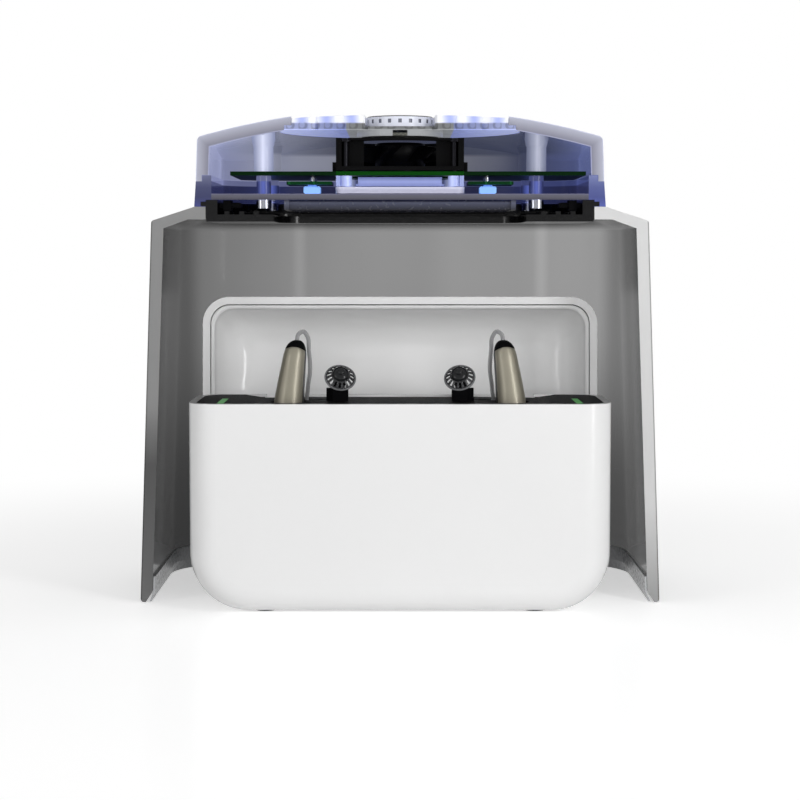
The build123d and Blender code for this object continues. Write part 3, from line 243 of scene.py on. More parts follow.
def indigo_polycarbonate():
    """Polycarbonate, moulded in see-through indigo. A painted glow stands for the lamps' bright blue light
    gathered near the posts and lamps; the rest is dusk blue, with painted light and shade in the sawn walls
    and the upper lip, and the sawn floor is mauve grey."""
    made, tree, shader = finish("polycarbonate_moulded_indigo", IOR=1.58, Roughness=0.14,
                                Specular_IOR_Level=0.3, Emission_Strength=0.6)
    x, y, z = add(tree, "SeparateXYZ", [add(tree, "TexCoord").outputs["Object"]]).outputs
    reach = add(tree, "Math", [x], operation="ABSOLUTE")
    sawn = add(tree, "Math", [y, SAWN], operation="LESS_THAN")
    # painted light and shade: the sawn walls bluer and paler to the right, changing with height
    level = add(tree, "MapRange", [z, 113.8 * MM, 123 * MM])
    wall_left = add(tree, "ValToRGB", [level], stops=(
        (0.0, "#484d8c"), (1.0, "#707494"), (0.3, "#40446a"), (0.6, "#4b4f74")))
    wall_right = add(tree, "ValToRGB", [level], stops=(
        (0.0, "#5a66b4"), (1.0, "#7d86b8"), (0.3, "#505894"), (0.6, "#5b649c")))
    wall = add(tree, "MixRGB", [add(tree, "Math", [x, 0.0], operation="GREATER_THAN"), wall_left, wall_right])
    in_floor = add(tree, "Math", [reach, 53.7 * MM], operation="LESS_THAN")
    floor_level = add(tree, "MapRange", [z, 115.8 * MM, 117.5 * MM])
    floor_tint = add(tree, "ValToRGB", [floor_level], stops=(
        (0.0, "#4c4b58"), (1.0, "#70708c"), (0.4, "#5e5d69"), (0.75, "#62626f")))
    sawn_tint = add(tree, "MixRGB", [in_floor, wall, floor_tint])
    # painted glow: the lamps' light gathered round the front posts, emitted by the inner faces
    off_post = away_from(tree, reach, POST_X)
    glow = add(tree, "ValToRGB", [add(tree, "MapRange", [off_post, 0.0, 16 * MM])], stops=(
        (0.0, "#6878d8"), (1.0, "#26284a"), (0.05, "#5362b4"), (0.11, "#2e3460")))
    # painted light: the upper lip lavender on the left, blue on the right
    tongue = add(tree, "MixRGB", [add(tree, "MapRange", [x, -56 * MM, 56 * MM]), "#7a7fa8", "#414a80"])
    glow = add(tree, "MixRGB", [add(tree, "MapRange", [z, 121.0 * MM, 121.2 * MM]), glow, tongue])
    wire_up(tree, shader, Alpha=add(tree, "Math", [sawn, 0.95], operation="MAXIMUM"),
            Base_Color=add(tree, "MixRGB", [sawn, "#2a2c48", sawn_tint]),
            Emission_Color=add(tree, "MixRGB", [sawn, glow, "#000000"]))
    return made


def white_plastic():
    """ABS, moulded white and polished: a clean gloss with the faintest ripple."""
    return moulded("abs_moulded_white_gloss", "#f3f3f3", "#f0f0f0", 0.16, 7.0, 0.003, IOR=1.5)[0]


def vent_plastic():
    """ABS, moulded white, with the lamps' light from below painted in as colour and glow: painted lilac
    underneath and warm grey near the axis, with a row of darker hooks, painted shade in the slots' ends,
    along its foot; painted light and shade on its facets, lilac and white in turn, along its rim."""
    made, tree, shader = finish("abs_moulded_white_vent", IOR=1.5, Roughness=0.3)
    here = add(tree, "TexCoord").outputs["Object"]
    x, _, z = add(tree, "SeparateXYZ", [here]).outputs
    reach = add(tree, "Math", [x], operation="ABSOLUTE")
    # painted lamp light: lilac further out, warm grey near the axis
    out = add(tree, "MapRange", [reach, 12 * MM, 34 * MM])
    band = add(tree, "ValToRGB", [out], stops=(
        (0.0, "#7e8082"), (1.0, "#b0b9e6"), (0.14, "#85888c"), (0.16, "#7f8abf")))
    # painted shade: the web darker, and the slots' ends darker still
    web, dark = (add(tree, "HueSaturation", {"Color": band, "Value": value}) for value in (0.78, 0.48))
    step = add(tree, "Math", [reach, HOOK_STEP], operation="MODULO")
    hook = add(tree, "CombineXYZ", [add(tree, "Math", [step, 2.6 * MM], operation="SUBTRACT"), 0.0,
                                    add(tree, "Math", [z, 136.9 * MM], operation="SUBTRACT")])
    ring = add(tree, "VectorMath", [hook], operation="LENGTH").outputs["Value"]
    off_ring = away_from(tree, ring, HOOK_RADIUS)
    on_ring = add(tree, "MapRange", [off_ring, 0.2 * MM, 0.5 * MM, 1.0, 0.0])
    hooks = add(tree, "MixRGB", [on_ring, web, dark])
    foot = add(tree, "MapRange", [z, 135.75 * MM, 135.85 * MM])
    under = add(tree, "MixRGB", [foot, band, hooks])
    # painted light and shade: the rim's facets lilac and white in turn
    facets = add(tree, "TexWave", {"Vector": here, "Scale": 1 / (22 * MM), "Distortion": 2.0, "Detail": 1.0},
                 bands_direction="X")
    top = add(tree, "MixRGB", [facets, "#aebaf2", "#fbfcff"])
    raised = add(tree, "MapRange", [z, 137.3 * MM, 137.7 * MM])
    tint = add(tree, "MixRGB", [raised, under, top])
    # painted glow: strong below the foot, weak above it
    wire_up(tree, shader, Base_Color=tint, Emission_Color=tint,
            Emission_Strength=add(tree, "MapRange", [foot, 0.0, 1.0, 0.75, 0.15]))
    return made


def pale_plastic():
    """ABS, moulded off-white and polished: glossy, a shade greyer than the shell."""
    return moulded("abs_moulded_pale_gloss", "#f0f0f0", "#ececec", 0.12, 6.0, 0.003, IOR=1.5)[0]


def frosted_plastic():
    """Polycarbonate, frosted and moulded: milky, painted lilac for the lamps beside it, with a painted glow
    on the bright posts.
    """
    made, tree, shader = moulded("polycarbonate_moulded_frosted", "#a3afe6", "#939fd8", 0.3, 1.2, 0.01,
                                 IOR=1.58, Emission_Color="#ccd6ff")
    x = add(tree, "SeparateXYZ", [add(tree, "TexCoord").outputs["Object"]]).outputs[0]
    reach = add(tree, "Math", [x], operation="ABSOLUTE")
    # painted highlight: a glow down each post
    off_post = away_from(tree, reach, DUCT_POST_X)
    wire_up(tree, shader, Emission_Strength=add(tree, "MapRange", [off_post, 0.0, 1.6 * MM, 0.5, 0.04]))
    return made


def outlet_plastic():
    """ABS, moulded white: a painted highlight glows along its upper edge, and it is painted lilac grey below
    for the lamps' light.
    """
    made, tree, shader = moulded("abs_moulded_white_outlet", "#c4c4da", "#b6b7d0", 0.25, 1.2, 0.006, IOR=1.5,
                                 Emission_Color="#f4f4ff")
    z = add(tree, "SeparateXYZ", [add(tree, "TexCoord").outputs["Object"]]).outputs[2]
    # painted highlight: the upper edge emits a little light
    wire_up(tree, shader, Emission_Strength=add(tree, "MapRange", [z, 118.5 * MM, 119.3 * MM, 0.0, 0.2]))
    return made


def louvre_plastic():
    """Polycarbonate, moulded smoke violet: dim louvres, with painted light making them lighter towards their
    upper edge.
    """
    made, tree, shader = moulded("polycarbonate_moulded_louvre", "#5d6078", "#3c3e52", 0.25, 1.5, 0.004,
                                 IOR=1.58)
    z = add(tree, "SeparateXYZ", [add(tree, "TexCoord").outputs["Object"]]).outputs[2]
    level = add(tree, "MapRange", [z, 112.9 * MM, 115.7 * MM])
    # painted light: the guard paler towards its upper edge, lit from above by the lamps
    wire_up(tree, shader, Base_Color=add(tree, "ValToRGB", [level], stops=(
        (0.0, "#24242c"), (1.0, "#2c2e3a"), (0.7, "#4c5066"))))
    return made


def black_plastic():
    """Glass-filled nylon, moulded black: a fine even grain that dulls the gloss."""
    return moulded("nylon_moulded_black_grained", "#0c0c0e", "#080809", 0.6, 0.5, 0.02, IOR=1.53,
                   Specular_IOR_Level=0.05)[0]


def fan_plastic():
    """PBT, moulded jet black: only its edges catch the light."""
    return moulded("pbt_moulded_jet_black", "#050506", "#020203", 0.4, 0.8, 0.01, IOR=1.5,
                   Specular_IOR_Level=0.1)[0]


def black_rubber():
    """Silicone rubber, moulded black: wet gloss with glints on its ribs."""
    return moulded("silicone_rubber_moulded_black", "#101012", "#070708", 0.16, 1.6, 0.03, IOR=1.43)[0]


def bright_steel():
    """Steel, turned and nickel plated: bright, with fine tool marks."""
    return metal("steel_turned_nickel_plated", "#d4d7e2", 0.16, 0.4)[0]


def dark_steel():
    """Steel, turned and blackened in oil: nearly black, with a dull sheen on its edges."""
    return metal("steel_turned_blackened", "#26262a", 0.4, 0.4)[0]


def copper_winding():
    """Enamelled copper wire, wound: rows of round turns 0.3 mm apart."""
    made, tree, shader = metal("copper_wire_enamelled_wound", "#b8693a", 0.32, 0.8)
    here = add(tree, "TexCoord").outputs["Object"]
    turns = add(tree, "TexWave", {"Vector": here, "Scale": 1 / (6.28 * 0.3 * MM)}, bands_direction="Z")
    wire_up(tree, shader, Normal=add(tree, "Bump", {"Height": turns, "Distance": 0.1 * MM, "Strength": 1.0}))
    return made


def green_board():
    """Glass-epoxy laminate under green solder mask: copper tracks show as paler green lines, and the sawn
    edge is deep green, with painted light making it brighter under the fan."""
    made, tree, shader = finish("glass_epoxy_green_solder_mask", IOR=1.55, Roughness=0.35,
                                Specular_IOR_Level=0.05)
    here = add(tree, "TexCoord").outputs["Object"]
    x, y, _ = add(tree, "SeparateXYZ", [here]).outputs
    tracks = add(tree, "TexBrick", {"Vector": here, "Color1": "#07381a", "Color2": "#063015",
                                    "Mortar": "#15552a", "Scale": 1.0, "Mortar Size": 0.25 * MM,
                                    "Brick Width": 7 * MM, "Row Height": 1.6 * MM})
    sawn = add(tree, "Math", [y, SAWN], operation="LESS_THAN")
    reach = add(tree, "Math", [x], operation="ABSOLUTE")
    under_fan = add(tree, "Math", [reach, FAN_EDGE_X], operation="LESS_THAN")
    # painted light: the sawn edge brighter under the fan
    edge = add(tree, "MixRGB", [under_fan, "#032108", "#044007"])
    raised = add(tree, "Bump", {"Height": tracks.outputs["Fac"], "Distance": 0.05 * MM, "Strength": 0.6})
    tint = add(tree, "MixRGB", [sawn, tracks.outputs["Color"], edge])
    wire_up(tree, shader, Base_Color=tint, Normal=raised)
    return made


def bare_board():
    """Glass-epoxy laminate, uncoated: olive grey, with the glass cloth's weave 0.6 mm apart."""
    made, tree, shader = finish("glass_epoxy_bare_laminate", IOR=1.55, Roughness=0.5, Specular_IOR_Level=0.2)
    weave = add(tree, "TexChecker", {"Vector": add(tree, "TexCoord").outputs["Object"], "Color1": "#62635c",
                                     "Color2": "#50514d", "Scale": 1 / (0.6 * MM)})
    wire_up(tree, shader, Base_Color=weave.outputs["Color"])
    return made


def button_plastic():
    """ABS, moulded white over the lamps: a cool bluish white, with grey in the marks of its skirt."""
    made, tree, shader = moulded("abs_moulded_cool_white", "#eef1ff", "#e4e8fc", 0.2, 5.0, 0.002, IOR=1.5)
    here = add(tree, "TexCoord").outputs["Object"]
    x, y, z = add(tree, "SeparateXYZ", [here]).outputs
    off_axis = add(tree, "CombineXYZ", [x, add(tree, "Math", [y, AXIS_Y], operation="SUBTRACT"), 0.0])
    radius = add(tree, "VectorMath", [off_axis], operation="LENGTH").outputs["Value"]
    inside = add(tree, "Math", [radius, 9.62 * MM], operation="LESS_THAN")
    below = add(tree, "Math", [z, 138.9 * MM], operation="LESS_THAN")
    marked = add(tree, "Math", [inside, below], operation="MULTIPLY")
    wire_up(tree, shader, Base_Color=add(tree, "MixRGB", [marked, "#eef1ff", "#7d8090"]))
    return made


def chip_resin():
    """Epoxy, moulded black and ejector-blasted: dull and slightly dusty."""
    return moulded("epoxy_moulded_chip_matt", "#1d1e22", "#131316", 0.55, 0.4, 0.01)[0]


def aluminium_can():
    """Aluminium, drawn into cans and brushed: soft streaks round the can."""
    return metal("aluminium_drawn_can", "#c4c6cb", 0.28, 0.5, squeeze=(1, 1, 6))[0]


def heater_ceramic():
    """Alumina ceramic with crimped aluminium fins, painted lilac for the lamps' light: chalky bands 1.4 mm
    apart, with painted light and shade making it palest across the middle and darker along the upper edge."""
    made, tree, shader = moulded("ceramic_heater_finned", "#a5b1ea", "#97a4e0", 0.4, 0.8, 0.01)
    here = add(tree, "TexCoord").outputs["Object"]
    fins = add(tree, "TexWave", {"Vector": here, "Scale": 1 / (6.28 * 1.4 * MM)}, bands_direction="X")
    z = add(tree, "SeparateXYZ", [here]).outputs[2]
    # painted lamp light and shade: palest across the middle, darker along the upper edge
    tint = add(tree, "ValToRGB", [add(tree, "MapRange", [z, 119.7 * MM, 122.3 * MM])], stops=(
        (0.0, "#8894d4"), (1.0, "#7480c0"), (0.5, "#aab6f0")))
    wire_up(tree, shader, Base_Color=tint,
            Normal=add(tree, "Bump", {"Height": fins, "Distance": 0.1 * MM, "Strength": 0.5}))
    return made


def ultraviolet_lamp():
    """Fused-quartz lamp, lit: an even sky blue with a deeper blue cap."""
    made, tree, shader = finish("quartz_lamp_lit_blue", Base_Color="#8fbcf4", Roughness=0.2,
                                Emission_Strength=0.42)
    z = add(tree, "SeparateXYZ", [add(tree, "TexCoord").outputs["Object"]]).outputs[2]
    tint = add(tree, "ValToRGB", [add(tree, "MapRange", [z, 117.6 * MM, 120.1 * MM])],
               stops=((0.0, "#86bcff"), (1.0, "#3a6ce6"), (0.68, "#80b6ff"), (0.8, "#3f7af4")))
    wire_up(tree, shader, Emission_Color=tint)
    return made


def lamp_glass():
    """Borosilicate window, ground edges: blue, with a painted glow from the lamp behind it, stronger towards
    its top.
    """
    made, tree, shader = finish("borosilicate_window_ground_edge", Base_Color="#6076b4", Roughness=0.15,
                                IOR=1.47, Emission_Color="#5f83e6")
    z = add(tree, "SeparateXYZ", [add(tree, "TexCoord").outputs["Object"]]).outputs[2]
    # painted glow: the lamp's light showing through the window
    wire_up(tree, shader, Emission_Strength=add(tree, "MapRange", [z, 116.0 * MM, 117.4 * MM, 0.05, 0.7]))
    return made


def clear_silicone():
    """Silicone, moulded clear: a milky lip with a soft gloss."""
    return moulded("silicone_moulded_clear_lip", "#c9cacc", "#a9abae", 0.28, 1.2, 0.01, IOR=1.41)[0]


def green_indicator():
    """Acrylic light guide, lit green: even, with a slightly hotter middle."""
    made, tree, shader = finish("acrylic_light_guide_green", Base_Color="#23752a", Roughness=0.4,
                                Specular_IOR_Level=0.2, Emission_Color="#2f8e32")
    tint = add(tree, "TexNoise", {"Vector": add(tree, "TexCoord").outputs["Object"], "Scale": 1 / (2.5 * MM)})
    wire_up(tree, shader, Emission_Strength=add(tree, "MapRange", [tint, 0.3, 0.7, 0.3, 0.5]))
    return made


def champagne_paint():
    """Metallic lacquer over moulded plastic, champagne: fine flakes and a satin clear coat. The band
    against the head is bare graphite plastic, with a narrow groove beside it."""
    made, tree, shader = finish("lacquer_metallic_champagne", Metallic=0.6, Coat_Weight=0.25,
                                Coat_Roughness=0.2)
    side = add(tree, "Attribute", attribute_name="inner_side").outputs["Fac"]
    band = add(tree, "MapRange", [side, GROOVE, GROOVE + 0.04])
    off_groove = away_from(tree, side, GROOVE)
    groove = add(tree, "MapRange", [off_groove, 0.0, 0.04])
    here = add(tree, "TexCoord").outputs["Object"]
    flake = add(tree, "TexVoronoi", {"Vector": here, "Scale": 1 / (0.12 * MM)})
    paint = add(tree, "MixRGB", [flake.outputs["Distance"], "#b6b1a0", "#a6a090"])
    wire_up(tree, shader, Base_Color=add(tree, "MixRGB", [band, paint, "#232322"]),
            Roughness=add(tree, "MapRange", [flake.outputs["Distance"], 0.0, 1.0, 0.42, 0.48]),
            Normal=add(tree, "Bump", {"Height": groove, "Distance": 0.2 * MM, "Strength": 0.8}))
    return made


def clear_tube():
    """Polyurethane tube, drawn clear: pale and see-through, with a soft gloss along it."""
    return moulded("polyurethane_tube_drawn_clear", "#bcbcbe", "#a8a8aa", 0.15, 2.0, 0.003, IOR=1.5,
                   Alpha=0.6)[0]


def grey_silicone():
    """Silicone, moulded grey and see-through: thin petals with bright rims."""
    made, tree, shader = finish("silicone_moulded_grey_clear", Roughness=0.2, IOR=1.41)
    tint = add(tree, "TexNoise", {"Vector": add(tree, "TexCoord").outputs["Object"], "Scale": 1 / (1.5 * MM)})
    wire_up(tree, shader, Base_Color=add(tree, "MixRGB", [tint, "#3a3b3d", "#4a4b4d"]),
            Alpha=add(tree, "MapRange", [tint, 0.0, 1.0, 0.75, 0.95]))
    return made


def rim_silicone():
    """Silicone, moulded grey: the rolled rim, paler than the petals because it is thicker."""
    return moulded("silicone_moulded_grey_rim", "#77787a", "#6c6d6f", 0.2, 0.8, 0.01, IOR=1.41)[0]


def dark_silicone():
    """Silicone, moulded smoke black: glossy, with soft highlights on the tip."""
    return moulded("silicone_moulded_smoke_black", "#2a2b2d", "#161718", 0.1, 0.8, 0.01, IOR=1.41)[0]


def cell_foil():
    """Polymer pouch foil, pressed: satin silver with shallow creases."""
    return metal("pouch_foil_pressed_silver", "#a9adb3", 0.35, 3.0)[0]


FINISHES = {
    smoked_acrylic: ["hood_shell"],
    clear_silicone: ["hood_rim_seal"],
    black_rubber: ["roof_gasket", "case_feet"],
    indigo_polycarbonate: ["unit_tray"],
    clear_polycarbonate: ["unit_cover"],
    vent_plastic: ["vent_disc"],
    button_plastic: ["power_button"],
    bare_board: ["button_board"],
    white_plastic: ["case_shell", "case_lid", "board_pillars", "board_connectors"],
    pale_plastic: ["lid_liner"],
    frosted_plastic: ["air_duct"],
    outlet_plastic: ["outlet_plate"],
    louvre_plastic: ["outlet_guard"],
    black_plastic: ["deck", "receiver_holders", "snap_hooks", "button_film", "left_receiver",
                    "right_receiver"],
    fan_plastic: ["fan_frame"],
    bright_steel: ["case_port", "hinge_pins", "snap_dome", "tray_screws", "power_socket",
                   "left_lamp_spacer", "right_lamp_spacer", "fan_shaft"],
    dark_steel: ["fan_screws"],
    copper_winding: ["charging_coils", "fan_stator"],
    green_board: ["case_board", "main_board", "left_lamp_board", "right_lamp_board"],
    chip_resin: ["board_chips"],
    aluminium_can: ["board_capacitors"],
    heater_ceramic: ["heater"],
    ultraviolet_lamp: ["left_lamp", "right_lamp"],
    lamp_glass: ["left_lamp_window", "right_lamp_window"],
    green_indicator: ["left_indicator_strip", "right_indicator_strip"],
    cell_foil: ["case_battery"],
}


# ---- shapes: the tools ----------------------------------------------------------------------
def curve_through(knots, values, at):
    """The smooth curve through the values at the knots, read at the places 'at': on each stretch a
    cubic whose end slopes are the slopes of the chords beside it."""
    knots, values, at = (np.asarray(a, float) for a in (knots, values, at))
    slope = np.gradient(values, knots, axis=0)
    i = np.clip(np.searchsorted(knots, at, side="right") - 1, 0, len(knots) - 2)
    h = knots[i + 1] - knots[i]
    t = (at - knots[i]) / h
    if values.ndim > 1:
        h, t = h[..., None], t[..., None]
    start, end = values[i], values[i + 1]
    return (start * (2 * t**3 - 3 * t**2 + 1) + end * (3 * t**2 - 2 * t**3)
            + h * slope[i] * (t**3 - 2 * t**2 + t) + h * slope[i + 1] * (t**3 - t**2))


def travelled(points):
    """How far each point lies along the run of points."""
    steps = np.linalg.norm(np.diff(np.asarray(points, float), axis=0), axis=1)
    return np.concatenate([[0.0], np.cumsum(steps)])


def skin(name, grids, make, body, stands_for=(), attributes=None):
    """A piece of closed skins. Each grid holds rows of points (mm) that close round on themselves, with
    a point at the middle of the first and of the last row. Faces are the cells between rows, and a fan
    at each end; a skin that encloses a negative volume has its faces turned over."""
    points, faces, count = [], [], 0
    for grid in grids:
        rows, columns = grid.shape[:2]
        spots = np.concatenate([grid.reshape(-1, 3), grid[:1].mean(1), grid[-1:].mean(1)])
        index = np.arange(rows * columns).reshape(rows, columns)
        low, high = index[:-1], index[1:]
        cells = np.stack([low, np.roll(low, -1, 1), np.roll(high, -1, 1), high], -1).reshape(-1, 4)
        foot, top = np.full(columns, rows * columns), np.full(columns, rows * columns + 1)
        fans = np.concatenate([np.stack([np.roll(index[0], -1), index[0], foot], -1),
                               np.stack([index[-1], np.roll(index[-1], -1), top], -1)])
        a, b, c, d = (spots[cells[:, k]] for k in range(4))
        volume = np.einsum("ij,ij", a, np.cross(b, c)) + np.einsum("ij,ij", a, np.cross(c, d))
        a, b, c = (spots[fans[:, k]] for k in range(3))
        volume += np.einsum("ij,ij", a, np.cross(b, c))
        if volume < 0:
            cells, fans = cells[:, ::-1], fans[:, ::-1]
        faces += (cells + count).tolist() + (fans + count).tolist()
        points.append(spots)
        count += len(spots)
    mesh = bpy.data.meshes.new(name)
    mesh.from_pydata((np.concatenate(points) * MM).tolist(), [], faces)
    mesh.polygons.foreach_set("use_smooth", [True] * len(mesh.polygons))
    mesh.validate()
    for label, values in (attributes or {}).items():
        layer = mesh.attributes.new(label, "FLOAT", "POINT")
        layer.data.foreach_set("value", np.asarray(values, np.float32))
    return place(name, mesh, make, body, stands_for)


def place(name, mesh, make, body, stands_for=()):
    """Puts a finished mesh into the scene as a piece of that body, with its material and slot."""
    piece = bpy.data.objects.new(name, mesh)
    bpy.context.scene.collection.objects.link(piece)
    mesh.materials.append(MADE[make])
    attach(piece, body)
    if stands_for:
        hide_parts(*stands_for)
    return piece


def turned(profile, columns, centre=(0, 0, 0), axis=(0, 0, 1)):
    """Rows of points from a profile of (radius, height) pairs turned round the axis at the centre."""
    axis = np.asarray(axis, float) / np.linalg.norm(axis)
    side = np.cross(axis, (0.0, 1.0, 0.0) if abs(axis[1]) < 0.9 else (1.0, 0.0, 0.0))
    side /= np.linalg.norm(side)
    other = np.cross(axis, side)
    angle = np.linspace(0, 2 * np.pi, columns, endpoint=False)[None, :, None]
    radius, height = (np.asarray(profile, float)[:, k][:, None, None] for k in (0, 1))
    return np.asarray(centre, float) + radius * (np.cos(angle) * side + np.sin(angle) * other) + height * axis


MADE = {make: make() for make in FINISHES}
for extra in (champagne_paint, clear_tube, grey_silicone, rim_silicone, dark_silicone):
    MADE[extra] = extra()
for make, names in FINISHES.items():
    for name in names:
        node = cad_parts[name]
        node.data.materials.clear()
        node.data.materials.append(MADE[make])


# ---- the hearing aids -----------------------------------------------------------------------
# height, middle x, middle y, half-width and half-depth of the left aid, from its foot to its tip
AID_FORM = np.array([
    (44.0, -32.0, -27.4, 3.2, 4.6), (46.5, -32.0, -27.3, 4.0, 5.6), (52.0, -31.9, -27.2, 4.25, 5.8),
    (58.0, -31.7, -27.1, 4.3, 5.8), (63.1, -31.2, -26.7, 3.95, 5.4), (68.6, -30.5, -26.0, 3.5, 4.8),
    (72.9, -29.95, -25.4, 3.05, 4.2), (74.1, -29.85, -25.25, 2.65, 3.7), (75.1, -29.7, -25.05, 1.95, 2.75),
    (75.6, -29.6, -24.95, 1.2, 1.7), (75.8, -29.55, -24.9, 0.5, 0.6)])
CAP_LEVEL = 6                     # the row of AID_FORM where the cap meets the shell
WIRE_ROUTE = [(-29.5, -24.9, 75.6), (-29.1, -24.8, 77.4), (-27.7, -24.4, 78.2), (-26.6, -23.9, 76.8),
              (-26.2, -23.4, 73.0), (-25.9, -22.8, 67.0), (-26.6, -21.8, 61.5), (-26.6, -20.6, 57.6),
              (-24.6, -19.8, 56.75), (-20.4, -18.4, 56.75), (-18.7, -18.8, 57.9), (-18.1, -20.38, 59.5)]
WIRE_RADIUS = 0.6
STRAND_RADIUS = 0.24
DOME_CENTRE = np.array((-17.0, -27.4, 65.5))
DOME_AXIS = np.array((0.12, -0.755, 0.645))


def aid_form(run, angle):
    """Points of the aid's outside: run is the distance up the side, angle goes round. Each level is a
    super-ellipse of power 2.3 about the middle of AID_FORM at that run."""
    form = curve_through(travelled(AID_FORM[:, (0, 3)]), AID_FORM, run)
    cosine, sine = np.cos(angle), np.sin(angle)
    reach_x = form[..., 3] * np.sign(cosine) * np.abs(cosine) ** (2 / 2.3)
    reach_y = form[..., 4] * np.sign(sine) * np.abs(sine) ** (2 / 2.3)
    return np.stack([form[..., 1] + reach_x, form[..., 2] + reach_y, form[..., 0]], -1)


def hearing_aid(side, name):
    """Shell and cap share aid_form; their joint is higher front and back, and dips on the side that
    faces the ear dome."""
    mirror = np.array((-side, 1.0, 1.0))
    angle = np.linspace(0, 2 * np.pi, 72, endpoint=False)[None, :]
    inner = np.cos(angle)
    runs = travelled(AID_FORM[:, (0, 3)])
    joint = runs[CAP_LEVEL] + 0.05 + 1.1 * np.sin(angle) ** 2 - 0.35 * inner
    up = np.linspace(0, 1, 60)[:, None]
    shell = aid_form(up * joint, angle + 0 * up) * mirror
    band = np.concatenate([np.broadcast_to(inner, (60, 72)).ravel(), (0.0, 0.0)])
    skin(name + "_aid_body", [shell], champagne_paint, name + "_aid",
         [name + "_aid_shell"], {"inner_side": band})
    up = np.linspace(0, 1, 28)[:, None]
    cap = aid_form(joint + up * (runs[-1] - joint), angle + 0 * up) * mirror
    skin(name + "_aid_tip", [cap], black_plastic, name + "_aid", [name + "_aid_cap"])


def receiver_wire(side, name):
    """A clear tube and the dark strand in it, along the smooth curve through WIRE_ROUTE: circles square
    to the curve's direction."""
    run = travelled(WIRE_ROUTE)
    at = np.linspace(0, run[-1], 120)
    middle = curve_through(run, WIRE_ROUTE, at)
    along = np.gradient(middle, at, axis=0)
    along /= np.linalg.norm(along, axis=1, keepdims=True)
    across = np.cross(along, (0.0, 1.0, 0.0))
    across /= np.linalg.norm(across, axis=1, keepdims=True)
    up = np.cross(across, along)
    angle = np.linspace(0, 2 * np.pi, 16, endpoint=False)[None, :, None]
    circle = np.cos(angle) * across[:, None] + np.sin(angle) * up[:, None]
    tube, strand = ((middle[:, None] + radius * circle) * (-side, 1, 1)
                    for radius in (WIRE_RADIUS, STRAND_RADIUS))
    skin(name + "_receiver_tube", [tube], clear_tube, name + "_aid", [name + "_receiver_wire"])
    skin(name + "_receiver_strand", [strand], dark_silicone, name + "_aid")


def ear_dome(side, name):
    """A thin, nearly flat umbrella turned round DOME_AXIS, with sixteen slots left out of its skirt, a
    rolled rim, and a round core with a knob at its tip."""
    mirror = np.array((-side, 1.0, 1.0))
    line = [(1.9, 1.0), (2.4, 0.95), (2.9, 0.7), (3.4, 0.35), (3.9, -0.1), (4.3, -0.6)]
    line = curve_through(np.arange(6), line, np.linspace(0, 5, 21))
    grid = turned(line, 128, DOME_CENTRE, DOME_AXIS) * mirror
    rows, columns = grid.shape[:2]
    index = np.arange(rows * columns).reshape(rows, columns)
    low, high = index[:-1], index[1:]
    cells = np.stack([low, np.roll(low, -1, 1), np.roll(high, -1, 1), high], -1)
    row, column = np.indices(cells.shape[:2])
    open_slot = (row > 6) & (row < 17) & (column % 8 < 4)
    cells = cells[~open_slot]
    if side < 0:
        cells = cells[:, ::-1]
    mesh = bpy.data.meshes.new(name + "_dome_skirt")
    mesh.from_pydata((grid.reshape(-1, 3) * MM).tolist(), [], cells.tolist())
    mesh.polygons.foreach_set("use_smooth", [True] * len(mesh.polygons))
    skirt = place(name + "_dome_skirt", mesh, grey_silicone, name + "_aid",
                  [name + "_ear_dome"])
    wall = skirt.modifiers.new("wall", "SOLIDIFY")
    wall.thickness, wall.offset = 0.3 * MM, -1.0
    around = np.linspace(0, 2 * np.pi, 12, endpoint=False)
    roll = np.stack([4.3 + 0.25 * np.cos(around), -0.65 + 0.25 * np.sin(around)], -1)
    ring = turned(roll, 72, DOME_CENTRE, DOME_AXIS).transpose(1, 0, 2)
    core = [(0.02, 3.0), (0.75, 2.95), (1.1, 2.6), (1.05, 2.25), (1.5, 2.15), (2.1, 1.85), (2.45, 1.3),
            (2.45, 0.7), (2.1, 0.2), (1.95, -0.6), (1.95, -2.4), (1.5, -2.6), (0.02, -2.6)]
    core = curve_through(np.arange(13), core, np.linspace(0, 12, 66))
    skin(name + "_dome_core", [turned(core, 40, DOME_CENTRE, DOME_AXIS) * mirror], dark_silicone,
         name + "_aid")
    ring_piece(name + "_dome_rim", ring * mirror, rim_silicone, name + "_aid")


def ring_piece(name, grid, make, body):
    """A closed ring: rows and columns both close round, so its faces are all the cells."""
    index = np.arange(grid.shape[0] * grid.shape[1]).reshape(grid.shape[:2])
    after = np.roll(index, -1, 0)
    cells = np.stack([index, np.roll(index, -1, 1), np.roll(after, -1, 1), after], -1).reshape(-1, 4)
    spots = grid.reshape(-1, 3)
    a, b, c, d = (spots[cells[:, k]] - spots.mean(0) for k in range(4))
    if np.einsum("ij,ij", a, np.cross(b, c)) + np.einsum("ij,ij", a, np.cross(c, d)) < 0:
        cells = cells[:, ::-1]
    mesh = bpy.data.meshes.new(name)
    mesh.from_pydata((spots * MM).tolist(), [], cells.tolist())
    mesh.polygons.foreach_set("use_smooth", [True] * len(mesh.polygons))
    return place(name, mesh, make, body)


for side, name in ((-1, "left"), (1, "right")):
    hearing_aid(side, name)
    receiver_wire(side, name)
    ear_dome(side, name)


# ---- the lid's lining -----------------------------------------------------------------------
LINING_HALF = (56.7, 17.4)        # half its width and half its depth, at its foot
LINING_MIDDLE_Y = -26.85
LINING_CORNER = 5.7
LINING_OUTSIDE = ((16.9, 81.3), (9.0, 81.3), (6.0, 80.6), (3.5, 79.0), (1.4, 76.0), (0.2, 72.0), (0.0, 60.05))
LINING_INSIDE = ((0.9, 60.05), (1.5, 66.0), (3.2, 73.0), (5.6, 77.2), (8.6, 79.4), (12.0, 80.2), (16.9, 80.4))
LID_HINGE = (-9.0, 50.5)          # y and z
LID_OPEN = math.radians(94)


